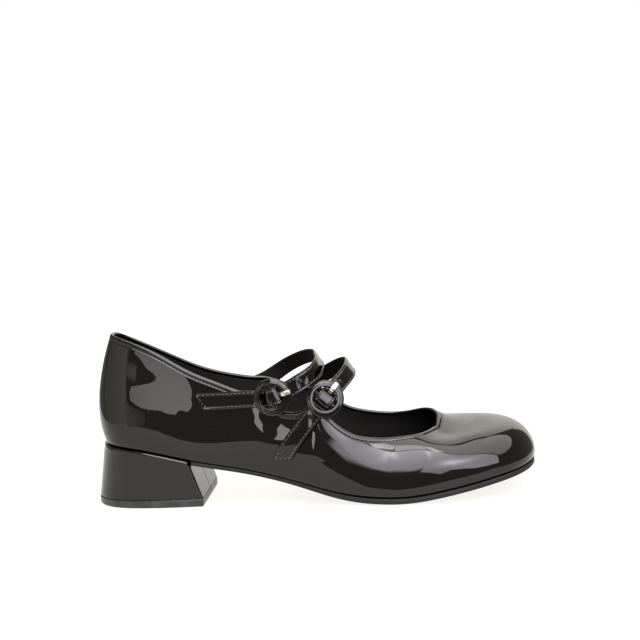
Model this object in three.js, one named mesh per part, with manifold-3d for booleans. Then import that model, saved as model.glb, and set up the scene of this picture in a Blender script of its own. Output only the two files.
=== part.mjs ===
// A double-strap mary jane on a low flared block heel, for the right foot.
// Millimetres, +X towards the toe, +Y towards the inner (big toe) side, +Z up, standing on the floor.
import * as THREE from "three";
import { mergeVertices } from "three/addons/utils/BufferGeometryUtils.js";
import Module from "manifold-3d";

// ---- driving dimensions -------------------------------------------------------------------
const shoeLength = 248; // unit of length for the tables: about the whole length of the upper
const ballWidth = 80; // unit of width: about the width across the ball of the foot
const backHeight = 62; // unit of height: the counter at the back, above the heel seat
const gap = 0.3; // between neighbouring pieces
const facetGap = 0.12; // added where two curved faces of flat facets lie along each other
const wallThickness = 1.9; // patent outer, backing and lining together

const soleThickness = 3.0; // forepart of the outsole
const waistThickness = 2.2; // outsole under the arch
const soleReveal = 0.8; // outsole past the feather edge, round the forepart
const insoleThickness = 2.6;

const breastAt = 52.2; // front of the heel block, at the seat
const breastBaseAt = 58.9; // and at the floor
const breastSkew = 0.024; // the inner side of the breast stands this much further forward, per mm of width
const baseBackAt = -4.9; // back of the heel at the floor
const baseTaper = 0.93; // base width as a share of the seat's width
const liftThickness = 4.3; // top lift, the wearing piece under the heel
const heelReveal = 1.2; // heel block past the feather edge at the seat

const strapWidth = 9.6;
const tailSlant = 4.2; // one corner of the free end reaches this much further than the other
const tailSlantReach = 14; // and the slant dies away over this length
const strapThickness = 1.6;
const strapHole = 1.0; // radius of the punched holes
const prongHole = 1.95; // radius of the one the prong has stretched
const ringRadius = 8.6; // buckle ring, to the middle of its rim
const rimWidth = 3.7;
const rimThickness = 2.8;
const barRadius = 0.6; // bar across the back of the buckle
const barHeight = 0.85; // of the bar's axis over the strap's line, which passes under the rim
const ringHeight = 2.65; // of the rim's middle
const bulge = 2.55; // the strap rises this much over the bar
const bulgeFlat = 1.4; // level this far to either side of it
const bulgeReach = 6.3; // and is down again this far from it
const prongWidth = 2.4;
const prongThickness = 0.9;

// ---- sections of the last -----------------------------------------------------------------
// The upper is a smooth loop of sections round the shoe: each goes from the feather edge, at the sole,
// to the topline.
// at, topAt: place along the length of the feather edge and of the topline, as shares of shoeLength
// outer, inner, topOuter, topInner: distance from the axis on each side, as shares of ballWidth
// rimOuter, rimInner: height of the topline above the feather edge on each side, as shares of backHeight
// swell, rise: how far out and up the wall heads first, mm
// belly, bellyUp: how far outside and above the feather edge the middle of the wall is pulled, mm
// push, crown: how far outside and above the topline the wall comes from, mm
const columns = ["at", "outer", "inner", "topAt", "topOuter", "topInner", "rimOuter", "rimInner",
  "swell", "rise", "belly", "bellyUp", "push", "crown"];
const sections = [
  [0.005, 0, 0, 0.035, 0, 0, 1.001, 1.001, 4.5, 13, 4.5, 26, 6, -14], // heel back
  [0.032, 0.23, 0.22, 0.055, 0.152, 0.145, 0.985, 0.952, 4.2, 12, 3, 28, 4.5, -16], // heel corner
  [0.105, 0.325, 0.312, 0.134, 0.231, 0.225, 0.904, 0.814, 3.5, 12, 1.8, 28, 2.5, -15], // heel side
  [0.208, 0.335, 0.312, 0.222, 0.281, 0.275, 0.807, 0.726, 2.5, 12, 1, 24, 1.5, -13], // breast of the heel
  [0.312, 0.319, 0.263, 0.319, 0.319, 0.312, 0.724, 0.674, 3, 11, 1.5, 22, 1, -12], // waist
  [0.417, 0.35, 0.244, 0.419, 0.344, 0.344, 0.617, 0.65, 3.5, 9, 2, 19, 1.5, -10], // shank
  [0.518, 0.425, 0.312, 0.514, 0.379, 0.369, 0.67, 0.627, 3.5, 9, 2, 20, 2.5, -10], // instep
  [0.613, 0.485, 0.419, 0.588, 0.394, 0.377, 0.555, 0.588, 3, 8, 1, 18, 4, -7], // back of the ball
  [0.706, 0.506, 0.479, 0.682, 0.34, 0.368, 0.509, 0.547, 2.5, 8, -1, 22, 6, -3], // ball
  [0.796, 0.491, 0.481, 0.736, 0.29, 0.269, 0.473, 0.547, 3, 8, -3, 24, 12, -5], // toes
  [0.883, 0.415, 0.425, 0.762, 0.159, 0.172, 0.423, 0.504, 4, 8, -7, 31, 19, -11], // toe side
  [0.954, 0.256, 0.294, 0.769, 0.113, 0.087, 0.393, 0.462, 6, 7.5, -10.5, 38.5, 24, -14.5], // toe corner
  [0.986, -0.025, 0.025, 0.772, -0.013, 0.013, 0.431, 0.431, 6.9, 7.4, -12, 41.5, 25.6, -16.5], // toe tip
].map((row) => Object.fromEntries(columns.map((name, k) => [name, row[k]])));

// Height of the heel seat, shank and forepart over the floor, by place along the length.
const seatLine = [
  { at: -0.012, z: 35.9 }, // heel back
  { at: 0.05, z: 35 },
  { at: 0.1, z: 33.3 }, // heel
  { at: 0.15, z: 30.6 },
  { at: 0.21, z: 26.7 }, // breast
  { at: 0.33, z: 20.3 }, // waist
  { at: 0.45, z: 13 }, // shank
  { at: 0.57, z: 5.5 }, // instep
  { at: 0.655, z: 2.9 }, // ball, on the floor
  { at: 0.705, z: 3.1 },
  { at: 0.775, z: 5.4 }, // toes
  { at: 0.84, z: 8.2 },
  { at: 0.905, z: 11.2 }, // toe box
  { at: 1, z: 15.3 }, // toe tip
];
const edgeLift = 1.1; // the forepart's edges stand this much higher than its middle
const archLift = 3; // and the inner edge of the waist this much more

// Low tabs on the topline under the straps: side -1 is the outer side.
const tabs = [
  { side: -1, at: 92, rise: 4, reach: 8 },
  { side: -1, at: 124.5, rise: 5.5, reach: 6.5 },
  { side: 1, at: 95, rise: 2, reach: 9 },
  { side: 1, at: 124, rise: 4.5, reach: 9 },
];

// ---- course of the straps -----------------------------------------------------------------
// tail: places on the outer quarter: along, height, and lift of the strap's middle off the leather, mm
// barAt: which point of the arch lies at the bar of the buckle
// arch: free points over the instep: x, y, z, then tilt, which turns the strap's face from the outer
// side (0) over the top (90) to the inner side (180), and ahead, which leans it towards the toe
// root: places on the inner quarter where the strap is sewn on, as the tail's
// holes: punched holes, by their distance along the strap from the bar of the buckle, mm
const straps = {
  rear: {
    tail: [[60.2, 59.8, 1.2], [69.8, 60, 1.4], [80.6, 60.3, 1.9], [90.4, 60.4, 2.4]],
    barAt: 0,
    arch: [
      [101.8, -29.5, 61.4, 6, -0.05],
      [116.2, -28.6, 68.2, 10, 0.13],
      [123.6, -24.4, 72.4, 9, 0.8],
      [126.3, -18.4, 74.6, 16, 1.12],
      [126.8, -10.7, 76.2, 5, 0.54],
      [125.8, 0.1, 77.5, 104, 1.41],
      [123, 8.2, 77.2, 127, 0.93],
      [117.2, 17.6, 75.2, 138, 0.45],
      [105.9, 27.4, 69.3, 140, 0.38],
    ],
    root: [[95.4, 62.4, 2.2], [87, 59, 1.7], [78.6, 56.2, 1.5]],
    holes: [17.5],
  },
  front: {
    tail: [[104.9, 26.2, 1.2], [110.2, 34.4, 1.4], [116.6, 42, 1.9]],
    barAt: 1,
    arch: [
      [125.3, -33.5, 53.2, 8, -0.1],
      [130.7, -32.6, 59.3, 10, -0.05],
      [134.3, -30.2, 63, 16, 0.05],
      [138.3, -25.6, 66.5, 6, 0.23],
      [142.4, -18.4, 70.1, 30, 1.07],
      [144, -10.1, 72.2, 55, 1.32],
      [143.1, 0.4, 72.7, 126, 1.2],
      [139.5, 9.1, 71.1, 121, 1.01],
      [134.2, 16.9, 67.9, 140, 0.53],
      [125.5, 26.7, 61.8, 146, 0.3],
    ],
    root: [[117.6, 54.2, 1.9], [111, 47.6, 1.3], [105, 41.8, 1.2]],
    holes: [14, -12.5],
  },
};

// ---- small mathematics --------------------------------------------------------------------
const v3 = (x, y, z) => new THREE.Vector3(x, y, z);
const clamp = THREE.MathUtils.clamp;
const smooth = THREE.MathUtils.smoothstep;
const lerp = THREE.MathUtils.lerp;
const radians = THREE.MathUtils.degToRad;

// Weights of the four nearest rows of a uniform cubic B-spline.
function splineWeights(f) {
  const g = 1 - f;
  return [g ** 3 / 6, (3 * f ** 3 - 6 * f ** 2 + 4) / 6, (3 * g ** 3 - 6 * g ** 2 + 4) / 6, f ** 3 / 6];
}

// Rows of numbers as a smooth curve: closed rows wrap, open ones run from the first to the last.
function splineRow(rows, t, closed) {
  const n = rows.length;
  const cell = closed ? Math.floor(t) : clamp(Math.floor(t), 0, n - 2);
  const weights = splineWeights(t - cell);
  const pick = (i) => {
    if (closed) return rows[((i % n) + n) % n];
    if (i < 0) return rows[0].map((v, k) => 2 * v - rows[1][k]);
    if (i >= n) return rows[n - 1].map((v, k) => 2 * v - rows[n - 2][k]);
    return rows[i];
  };
  return rows[0].map((_, k) => weights.reduce((sum, w, j) => sum + w * pick(cell - 1 + j)[k], 0));
}

// Control rows whose closed or open spline passes through the given rows.
function throughRows(rows, closed) {
  const n = rows.length;
  let control = rows.map((row) => [...row]);
  for (let pass = 0; pass < 60; pass++) {
    control = rows.map((row, i) => {
      if (!closed && (i === 0 || i === n - 1)) return row;
      const before = control[(i + n - 1) % n];
      const after = control[(i + 1) % n];
      return row.map((v, k) => (6 * v - before[k] - after[k]) / 4);
    });
  }
  return control;
}

// ---- the bottom of the last ---------------------------------------------------------------
const seatRows = seatLine.map((p) => [p.at * shoeLength, p.z]);

// Natural cubic spline through the seat line.
const seatCurve = (() => {
  const n = seatRows.length;
  const x = seatRows.map((r) => r[0]);
  const y = seatRows.map((r) => r[1]);
  const bend = new Array(n).fill(0);
  const c = new Array(n).fill(0);
  const d = new Array(n).fill(0);
  for (let i = 1; i < n - 1; i++) {
    const before = x[i] - x[i - 1];
    const after = x[i + 1] - x[i];
    const pivot = 2 * (before + after) - before * c[i - 1];
    c[i] = after / pivot;
    d[i] = (6 * ((y[i + 1] - y[i]) / after - (y[i] - y[i - 1]) / before) - before * d[i - 1]) / pivot;
  }
  for (let i = n - 2; i > 0; i--) bend[i] = d[i] - c[i] * bend[i + 1];
  return (px) => {
    let i = 0;
    while (i < n - 2 && px > x[i + 1]) i++;
    const h = x[i + 1] - x[i];
    const a = (x[i + 1] - px) / h;
    const b = (px - x[i]) / h;
    return a * y[i] + b * y[i + 1] + ((a ** 3 - a) * bend[i] + (b ** 3 - b) * bend[i + 1]) * h * h / 6;
  };
})();

// The surface that the feather edge, the insole and the outsole share.
function seatHeight(x, y) {
  const across = y / (ballWidth / 2);
  const forepart = smooth(x, 0.5 * shoeLength, 0.66 * shoeLength);
  const arch = Math.exp(-(((x - 0.39 * shoeLength) / (0.13 * shoeLength)) ** 2));
  return seatCurve(x) + edgeLift * forepart * across ** 2 + archLift * arch * smooth(across, 0.05, 0.6);
}

// ---- the wall of the upper ----------------------------------------------------------------
// Each section as plain numbers for one side of the shoe.
function sideRow(s, side) {
  const outer = side < 0;
  return [
    s.at * shoeLength, side * (outer ? s.outer : s.inner) * ballWidth,
    s.topAt * shoeLength, side * (outer ? s.topOuter : s.topInner) * ballWidth,
    (outer ? s.rimOuter : s.rimInner) * backHeight,
    s.swell, s.rise, s.belly, s.bellyUp, s.push, s.crown,
  ];
}

const last = sections.length - 1;
const wallRows = throughRows([
  ...sections.slice(0, last).map((s) => sideRow(s, -1)),
  sideRow(sections[last], 1),
  ...sections.slice(1, last).reverse().map((s) => sideRow(s, 1)),
], true);
const around = wallRows.length; // the loop's parameter runs from 0 to this, outer side first
const toeTip = last; // its value at the toe

function tabRise(x, y) {
  return tabs.reduce((sum, t) => {
    const onSide = smooth(t.side * y, 10, 22);
    return sum + t.rise * onSide * Math.exp(-(((x - t.at) / t.reach) ** 2));
  }, 0);
}

// Feather edge in plan, with its outward direction.
function feather(t) {
  const row = splineRow(wallRows, t, true);
  const step = 1e-3;
  const ahead = splineRow(wallRows, t + step, true);
  const behind = splineRow(wallRows, t - step, true);
  const along = v3(ahead[0] - behind[0], ahead[1] - behind[1], 0).normalize();
  return { row, x: row[0], y: row[1], out: v3(along.y, -along.x, 0) };
}

// A point of the outer face: t goes round the shoe, s goes up from the feather edge to the topline.
function wallPoint(t, s) {
  const f = feather(t);
  const [, , topX, topY, rim, swell, rise, belly, bellyUp, push, crown] = f.row;
  const foot = v3(f.x, f.y, seatHeight(f.x, f.y));
  const top = v3(topX, topY, foot.z + rim + tabRise(topX, topY));
  const beside = (p, out, up) => v3(p.x + f.out.x * out, p.y + f.out.y * out, p.z + up);
  const pulls = [
    foot,
    beside(foot, swell, rise),
    beside(foot, belly, bellyUp),
    beside(top, push, crown),
    top,
  ];
  const r = 1 - s;
  const weights = [r ** 4, 4 * r ** 3 * s, 6 * r * r * s * s, 4 * r * s ** 3, s ** 4];
  return pulls.reduce((sum, p, k) => sum.addScaledVector(p, weights[k]), v3(0, 0, 0));
}

function wallNormal(t, s) {
  const step = 1e-3;
  const low = Math.max(s - step, 0);
  const high = Math.min(s + step, 1);
  const round = wallPoint(t + step, s).sub(wallPoint(t - step, s));
  const up = wallPoint(t, high).sub(wallPoint(t, low));
  return round.cross(up).normalize();
}

// The point of the outer face on one side at a given place along and height, with its normal.
function onQuarter(x, z, side) {
  let t = side < 0 ? 5 : around - 5;
  let s = 0.7;
  for (let i = 0; i < 40; i++) {
    const p = wallPoint(t, s);
    const step = 1e-3;
    const dt = wallPoint(t + step, s).sub(p).divideScalar(step);
    const ds = wallPoint(t, s + step).sub(p).divideScalar(step);
    const det = dt.x * ds.z - dt.z * ds.x;
    t += clamp(((x - p.x) * ds.z - (z - p.z) * ds.x) / det, -1, 1);
    s += clamp((dt.x * (z - p.z) - dt.z * (x - p.x)) / det, -0.2, 0.2);
  }
  return { point: wallPoint(t, s), normal: wallNormal(t, s) };
}

const crossSteps = 8; // cells across a sole piece

// An outline in plan: an outer and an inner side of equal length from the heel end to the toe end, and
// between them at each end either one point or the points that lie between two corners.
class Outline {
  constructor(outer, inner, back, front) {
    const m = outer.length;
    this.ring = [...outer, ...front, ...[...inner].reverse(), ...[...back].reverse()];
    const innerAt = (k) => m + front.length + (m - 1 - k);
    const frontAt = front.map((_, j) => m + j);
    const backAt = back.map((_, j) => 2 * m + front.length + (back.length - 1 - j));
    this.rows = outer.map((_, k) => ({ ends: [k, innerAt(k)] }));
    if (back.length === 1) this.rows.unshift({ ends: backAt });
    else this.rows[0].between = backAt;
    if (front.length === 1) this.rows.push({ ends: frontAt });
    else this.rows.at(-1).between = frontAt;
  }

  // The same outline with its ring moved.
  moved(change) {
    return Object.assign(Object.create(Outline.prototype), { ring: this.ring.map(change), rows: this.rows });
  }
}

// The points between two corners of a blunt end.
function straight(from, to) {
  return Array.from({ length: crossSteps - 1 }, (_, k) => from.clone().lerp(to, (k + 1) / crossSteps));
}

// ---- skins: closed meshes -----------------------------------------------------------------
class Skin {
  points = [];
  faces = [];

  add(p) {
    return this.points.push(p.clone()) - 1;
  }

  quad(a, b, c, d) {
    this.faces.push([a, b, c], [a, c, d]);
  }

  // Rings of equal length joined in order. Closed rings wrap round to the first ring.
  join(rings, closed) {
    const n = rings[0].length;
    const spans = closed ? rings.length : rings.length - 1;
    for (let i = 0; i < spans; i++) {
      const a = rings[i];
      const b = rings[(i + 1) % rings.length];
      for (let j = 0; j < n; j++) this.quad(a[j], a[(j + 1) % n], b[(j + 1) % n], b[j]);
    }
  }

  // Closes a ring round an outline with rows across it, at the height of heightAt.
  cover(ring, outline, heightAt, flip) {
    const rows = outline.rows.map(({ ends, between }) => {
      if (between) return [ends[0], ...between, ends[1]].map((i) => ring[i]);
      if (ends.length === 1) return [ring[ends[0]]];
      const [from, to] = ends.map((i) => this.points[ring[i]]);
      const inside = Array.from({ length: crossSteps - 1 }, (_, k) => {
        const p = from.clone().lerp(to, (k + 1) / crossSteps);
        p.z = heightAt(p.x, p.y);
        return this.add(p);
      });
      return [ring[ends[0]], ...inside, ring[ends[1]]];
    });
    const face = (a, b, c) => this.faces.push(flip ? [a, c, b] : [a, b, c]);
    for (let i = 0; i + 1 < rows.length; i++) {
      const [near, far] = [rows[i], rows[i + 1]];
      for (let k = 0; k < crossSteps; k++) {
        if (far.length > 1) face(near[Math.min(k, near.length - 1)], far[k], far[k + 1]);
        if (near.length > 1) face(near[k], far[Math.min(k + 1, far.length - 1)], near[k + 1]);
      }
    }
  }

  // The mesh, with its faces turned to point out.
  geometry() {
    const volume = this.faces.reduce((sum, [a, b, c]) => {
      const [p, q, r] = [this.points[a], this.points[b], this.points[c]];
      return sum + p.dot(q.clone().cross(r));
    }, 0);
    const faces = volume < 0 ? this.faces.map(([a, b, c]) => [a, c, b]) : this.faces;
    return new THREE.BufferGeometry()
      .setAttribute("position", new THREE.Float32BufferAttribute(this.points.flatMap((p) => p.toArray()), 3))
      .setIndex(faces.flat());
  }
}

const wasm = await Module();
wasm.setup();

function solidOf(geometry) {
  const bare = geometry.clone();
  bare.deleteAttribute("normal");
  bare.deleteAttribute("uv");
  const merged = mergeVertices(bare, 1e-4);
  return new wasm.Manifold(new wasm.Mesh({
    numProp: 3,
    vertProperties: new Float32Array(merged.attributes.position.array),
    triVerts: new Uint32Array(merged.index.array),
  }));
}

function geometryOf(solid) {
  const mesh = solid.getMesh();
  return new THREE.BufferGeometry()
    .setAttribute("position", new THREE.BufferAttribute(new Float32Array(mesh.vertProperties), 3))
    .setIndex(new THREE.BufferAttribute(new Uint32Array(mesh.triVerts), 1));
}

// ---- upper --------------------------------------------------------------------------------
const wallLevels = 8; // rows up the wall
const coarse = 0.3; // columns round the shoe, in sections
const fine = 0.125; // and between the waist and the ball, where the tabs are
const tabsFrom = 3.9;
const tabsTo = 7;

const columnPlaces = (() => {
  const run = (from, to, width) => {
    const steps = Math.round((to - from) / width);
    return Array.from({ length: steps }, (_, i) => lerp(from, to, i / steps));
  };
  const outerSide = [
    ...run(0, tabsFrom, coarse),
    ...run(tabsFrom, tabsTo, fine),
    ...run(tabsTo, toeTip, coarse),
  ];
  const innerSide = outerSide.slice(1).reverse().map((t) => around - t);
  return [...outerSide, toeTip, ...innerSide];
})();

function upper() {
  const skin = new Skin();
  const outside = [];
  const inside = [];
  for (let level = 0; level <= wallLevels; level++) {
    const s = level / wallLevels;
    const outerRing = [];
    const innerRing = [];
    for (const t of columnPlaces) {
      const p = wallPoint(t, s);
      outerRing.push(skin.add(p));
      const outward = level === 0 ? feather(t).out : wallNormal(t, s);
      const q = p.clone().addScaledVector(outward, -wallThickness);
      if (level === 0) q.z = seatHeight(q.x, q.y);
      innerRing.push(skin.add(q));
    }
    outside.push(outerRing);
    inside.unshift(innerRing);
  }
  skin.join([...outside, ...inside], true);
  return skin.geometry();
}

// ---- sole pieces --------------------------------------------------------------------------
// Places between two values of the loop's parameter, both included.
function between(from, to, steps) {
  return Array.from({ length: steps + 1 }, (_, i) => lerp(from, to, i / steps));
}

// Where the feather edge of one side passes a place along the shoe.
function placeAt(x, side) {
  let low = 0;
  let high = toeTip;
  for (let i = 0; i < 40; i++) {
    const mid = (low + high) / 2;
    const t = side < 0 ? mid : around - mid;
    if (feather(t).x < x) low = mid;
    else high = mid;
  }
  return side < 0 ? low : around - low;
}

// The feather edge moved outwards.
function featherLine(places, outwards) {
  return places.map((t) => {
    const f = feather(t);
    const move = outwards(f.x);
    return v3(f.x + f.out.x * move, f.y + f.out.y * move, 0);
  });
}

function ringNormal(ring, i) {
  const n = ring.length;
  const along = ring[(i + 1) % n].clone().sub(ring[(i + n - 1) % n]);
  return v3(along.y, -along.x, 0).normalize();
}

// A plate between two height functions. Its edge is a list of rings from the bottom up.
function plate(outline, topAt, bottomAt, edge) {
  const skin = new Skin();
  const rings = edge.map(({ share, move }) => outline.ring.map((p, i) => {
    const q = p.clone().addScaledVector(ringNormal(outline.ring, i), move);
    q.z = lerp(bottomAt(q.x, q.y), topAt(q.x, q.y), share);
    return skin.add(q);
  }));
  skin.join(rings, false);
  skin.cover(rings[0], outline, bottomAt, true);
  skin.cover(rings.at(-1), outline, topAt, false);
  return skin.geometry();
}

function outsoleTop(x, y) {
  return seatHeight(x, y) - gap - facetGap;
}

function outsoleBottom(x, y) {
  const forepart = smooth(x, 0.4 * shoeLength, 0.6 * shoeLength);
  return Math.max(0, outsoleTop(x, y) - lerp(waistThickness, soleThickness, forepart));
}

// The breast of the heel is a slanting plane: its place along at a given width and share of the way down.
function breastX(y, share) {
  return lerp(breastAt, breastBaseAt, share) + breastSkew * y;
}

function outsole() {
  const reveal = (x) => lerp(-0.4, soleReveal, smooth(x, 0.42 * shoeLength, 0.62 * shoeLength));
  const side = (sign) => {
    const heelEnd = placeAt(breastX(sign * 0.3 * ballWidth, 0) + 1.6, sign);
    return featherLine(between(heelEnd, toeTip, 28), reveal);
  };
  const outer = side(-1);
  const inner = side(1);
  const tip = [outer.pop()];
  inner.pop();
  const edge = [{ share: 0, move: -0.5 }, { share: 0.25, move: 0 }, { share: 1, move: 0 }];
  return plate(new Outline(outer, inner, straight(outer[0], inner[0]), tip), outsoleTop, outsoleBottom, edge);
}

function insole() {
  const side = (from) => featherLine(between(from, toeTip, 24), () => -(wallThickness + gap + 0.4));
  const outer = side(0);
  const inner = side(around);
  const tip = [outer.pop()];
  const back = [outer.shift()];
  const outline = new Outline(outer, inner.slice(1, -1), back, tip);
  const base = (x, y) => seatHeight(x, y) + facetGap;
  const top = (x, y) => seatHeight(x, y) + insoleThickness;
  return plate(outline, top, base, [{ share: 0, move: 0 }, { share: 1, move: 0 }]);
}

// The seat's outline under the heel, blunt at the breast.
function heelOutline(reveal) {
  const side = (sign) => {
    const breast = placeAt(breastX(sign * 0.33 * ballWidth, 0), sign);
    return featherLine(between(sign < 0 ? 0 : around, breast, 14), () => reveal);
  };
  const outer = side(-1);
  const inner = side(1).slice(1);
  const back = [outer.shift()];
  return new Outline(outer, inner, back, straight(outer.at(-1), inner.at(-1)));
}

// The heel spreads in length and narrows a little from the seat (share 0) to the floor (share 1).
function flared(p, share) {
  const seatBack = feather(0).x - heelReveal;
  const along = (p.x - seatBack) / (breastX(p.y, 0) - seatBack);
  const baseX = lerp(baseBackAt, breastX(p.y, 1), along);
  return v3(lerp(p.x, baseX, share), p.y * lerp(1, baseTaper, share), 0);
}

const heelBase = liftThickness + gap;

function heelBlock() {
  const skin = new Skin();
  const outline = heelOutline(heelReveal);
  const levels = [0, 0.33, 0.66, 1]; // from the base up to the seat
  const rings = levels.map((level) => outline.ring.map((p) => {
    const q = flared(p, 1 - level);
    q.z = lerp(heelBase, outsoleTop(p.x, p.y), level);
    return skin.add(q);
  }));
  skin.join(rings, false);
  skin.cover(rings[0], outline, () => heelBase, true);
  skin.cover(rings.at(-1), outline, outsoleTop, false);
  return skin.geometry();
}

function topLift() {
  const outline = heelOutline(heelReveal + 0.1).moved((p) => flared(p, 1));
  const edge = [{ share: 0, move: -0.4 }, { share: 0.12, move: 0 }, { share: 1, move: 0 }];
  return plate(outline, () => liftThickness, () => 0, edge);
}

// ---- straps and buckles -------------------------------------------------------------------
// A strap's course as a curve by distance from the bar of its buckle, with the direction its face looks in.
class Course {
  constructor({ tail, arch, root }, barRow) {
    const held = (side) => ([x, z, lift]) => {
      const q = onQuarter(x, z, side);
      const p = q.point.addScaledVector(q.normal, lift);
      return [...p.toArray(), ...q.normal.toArray()];
    };
    const free = ([x, y, z, tilt, ahead]) => {
      const a = radians(tilt);
      return [x, y, z, ahead, -Math.cos(a), Math.sin(a)];
    };
    this.rows = throughRows([...tail.map(held(-1)), ...arch.map(free), ...root.map(held(1))], false);
    this.travel = [{ t: 0, d: 0 }];
    const parts = 40;
    for (let i = 1; i <= (this.rows.length - 1) * parts; i++) {
      const t = i / parts;
      const d = this.travel.at(-1).d + this.at(t).distanceTo(this.at(t - 1 / parts));
      this.travel.push({ t, d });
    }
    this.bar = this.travel[barRow * parts].d;
    this.start = -this.bar;
    this.end = this.travel.at(-1).d - this.bar;
  }

  at(t) {
    return v3(...splineRow(this.rows, t, false));
  }

  place(distance) {
    const d = clamp(distance + this.bar, 0, this.travel.at(-1).d);
    const next = this.travel.find((q, i) => i > 0 && q.d >= d);
    const before = this.travel[this.travel.indexOf(next) - 1];
    return lerp(before.t, next.t, (d - before.d) / (next.d - before.d));
  }

  // Middle of the strap with its running, facing and crosswise directions.
  frame(distance) {
    const t = this.place(distance);
    const row = splineRow(this.rows, t, false);
    const step = 1e-2;
    const behind = this.at(Math.max(t - step, 0));
    const run = this.at(Math.min(t + step, this.rows.length - 1)).sub(behind).normalize();
    const face = v3(row[3], row[4], row[5]);
    face.addScaledVector(run, -face.dot(run)).normalize();
    return { p: v3(row[0], row[1], row[2]), run, face, across: run.clone().cross(face) };
  }
}

// Height of the strap's middle over its course where it passes over the bar.
function overBar(distance) {
  const share = clamp((Math.abs(distance) - bulgeFlat) / (bulgeReach - bulgeFlat), 0, 1);
  return bulge * (0.5 + 0.5 * Math.cos(Math.PI * share));
}

// A closed band through frames, with chamfered corners. A frame's slant leans its crosscut along the run.
function band(frames, width, thickness) {
  const skin = new Skin();
  const h = thickness / 2;
  const edge = 0.3 * thickness;
  const w = width / 2;
  const rings = frames.map((f) => {
    const outline = [[-w, h - edge], [-w + edge, h], [w - edge, h], [w, h - edge],
      [w, edge - h], [w - edge, -h], [edge - w, -h], [-w, edge - h]];
    return outline.map(([a, b]) => skin.add(
      f.p.clone().addScaledVector(f.across, a).addScaledVector(f.face, b)
        .addScaledVector(f.run, (f.slant ?? 0) * a / w)));
  });
  skin.join(rings, false);
  for (const [ring, flip] of [[rings[0], false], [rings.at(-1), true]]) {
    for (let j = 1; j + 1 < ring.length; j++) {
      skin.faces.push(flip ? [ring[0], ring[j], ring[j + 1]] : [ring[0], ring[j + 1], ring[j]]);
    }
  }
  return skin.geometry();
}

// A cylinder along a direction, through a point.
function pin(at, along, radius, length, sides) {
  const turn = new THREE.Quaternion().setFromUnitVectors(v3(0, 1, 0), along);
  return new THREE.CylinderGeometry(radius, radius, length, sides)
    .applyQuaternion(turn)
    .translate(at.x, at.y, at.z);
}

function strapBand(course, holes) {
  const flank = Array.from({ length: 6 }, (_, k) => lerp(bulgeFlat, bulgeReach, k / 5));
  const stations = [];
  for (let d = course.start; d < -bulgeReach - 2; d += 5) stations.push(d);
  stations.push(...flank.map((d) => -d).reverse(), 0, ...flank);
  for (let d = bulgeReach + 4; d < course.end - 2; d += 4) stations.push(d);
  stations.push(course.end);
  const frames = stations.map((d) => {
    const f = course.frame(d);
    f.p.addScaledVector(f.face, overBar(d));
    f.slant = tailSlant / 2 * (1 - smooth(d, course.start, course.start + tailSlantReach));
    return f;
  });
  // The bulge tips the strap, so its facing follows the raised line.
  frames.forEach((f, i) => {
    const ahead = frames[Math.min(i + 1, frames.length - 1)].p;
    const behind = frames[Math.max(i - 1, 0)].p;
    f.run = ahead.clone().sub(behind).normalize();
    f.face.addScaledVector(f.run, -f.face.dot(f.run)).normalize();
    f.across = f.run.clone().cross(f.face);
  });
  const cuts = [[prongAt, prongHole], ...holes.map((d) => [d, strapHole])].map(([d, radius]) => {
    const f = course.frame(d);
    return solidOf(pin(f.p.addScaledVector(f.face, overBar(d)), f.face, radius, 9, 12));
  });
  const whole = solidOf(band(frames, strapWidth, strapThickness));
  return geometryOf(cuts.reduce((solid, cut) => solid.subtract(cut), whole));
}

// The buckle: a round rim with a bar across its back. Its plane is square to the strap's facing at the bar.
function buckleFrame(course) {
  const f = course.frame(0);
  const at = (along, across, height) => f.p.clone()
    .addScaledVector(f.run, along)
    .addScaledVector(f.across, across)
    .addScaledVector(f.face, height);
  return { ...f, at };
}

function buckleRing(course) {
  const f = buckleFrame(course);
  const skin = new Skin();
  const turns = 28;
  const section = 8;
  const rings = Array.from({ length: turns }, (_, i) => {
    const a = 2 * Math.PI * i / turns;
    return Array.from({ length: section }, (_, j) => {
      const b = 2 * Math.PI * (j + 0.5) / section;
      const r = ringRadius + Math.cos(b) * rimWidth / 2 / Math.cos(Math.PI / section);
      const h = ringHeight + Math.sin(b) * rimThickness / 2 / Math.cos(Math.PI / section);
      return skin.add(f.at(r * Math.cos(a), r * Math.sin(a), h));
    });
  });
  skin.join(rings, true);
  const bar = pin(f.at(0, 0, barHeight), f.across, barRadius, 2 * ringRadius, 8);
  return geometryOf(solidOf(skin.geometry()).add(solidOf(bar)));
}

// The prong hooks under the bar, comes up through the strap and lies over the rim: distance along, height.
const prongAt = 4.5; // where it passes through the strap
const prongLine = [[-1.1, -0.2], [0, -0.6], [1.2, -0.4], [2.9, -0.2], [3.9, 0.5], [4.6, 2], [5.3, 3.6],
  [6.5, 4.7], [8.6, 4.9], [10.7, 4.8]];

function prong(course) {
  const f = buckleFrame(course);
  const points = prongLine.map(([along, height]) => f.at(along, 0, height));
  const frames = points.map((p, i) => {
    const ahead = points[Math.min(i + 1, points.length - 1)];
    const behind = points[Math.max(i - 1, 0)];
    const run = ahead.clone().sub(behind).normalize();
    return { p, run, across: f.across, face: f.across.clone().cross(run) };
  });
  return band(frames, prongWidth, prongThickness);
}

// ---- assembly -----------------------------------------------------------------------------
const finishes = {
  patent: new THREE.MeshStandardMaterial({ color: 0x0b0b0c, roughness: 0.08, metalness: 0 }),
  rubber: new THREE.MeshStandardMaterial({ color: 0x18181a, roughness: 0.5, metalness: 0 }),
  lining: new THREE.MeshStandardMaterial({ color: 0x1c1b19, roughness: 0.7, metalness: 0 }),
  covered: new THREE.MeshStandardMaterial({ color: 0x101011, roughness: 0.15, metalness: 0 }),
  metal: new THREE.MeshStandardMaterial({ color: 0xd6cbb0, roughness: 0.25, metalness: 1 }),
};

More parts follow.
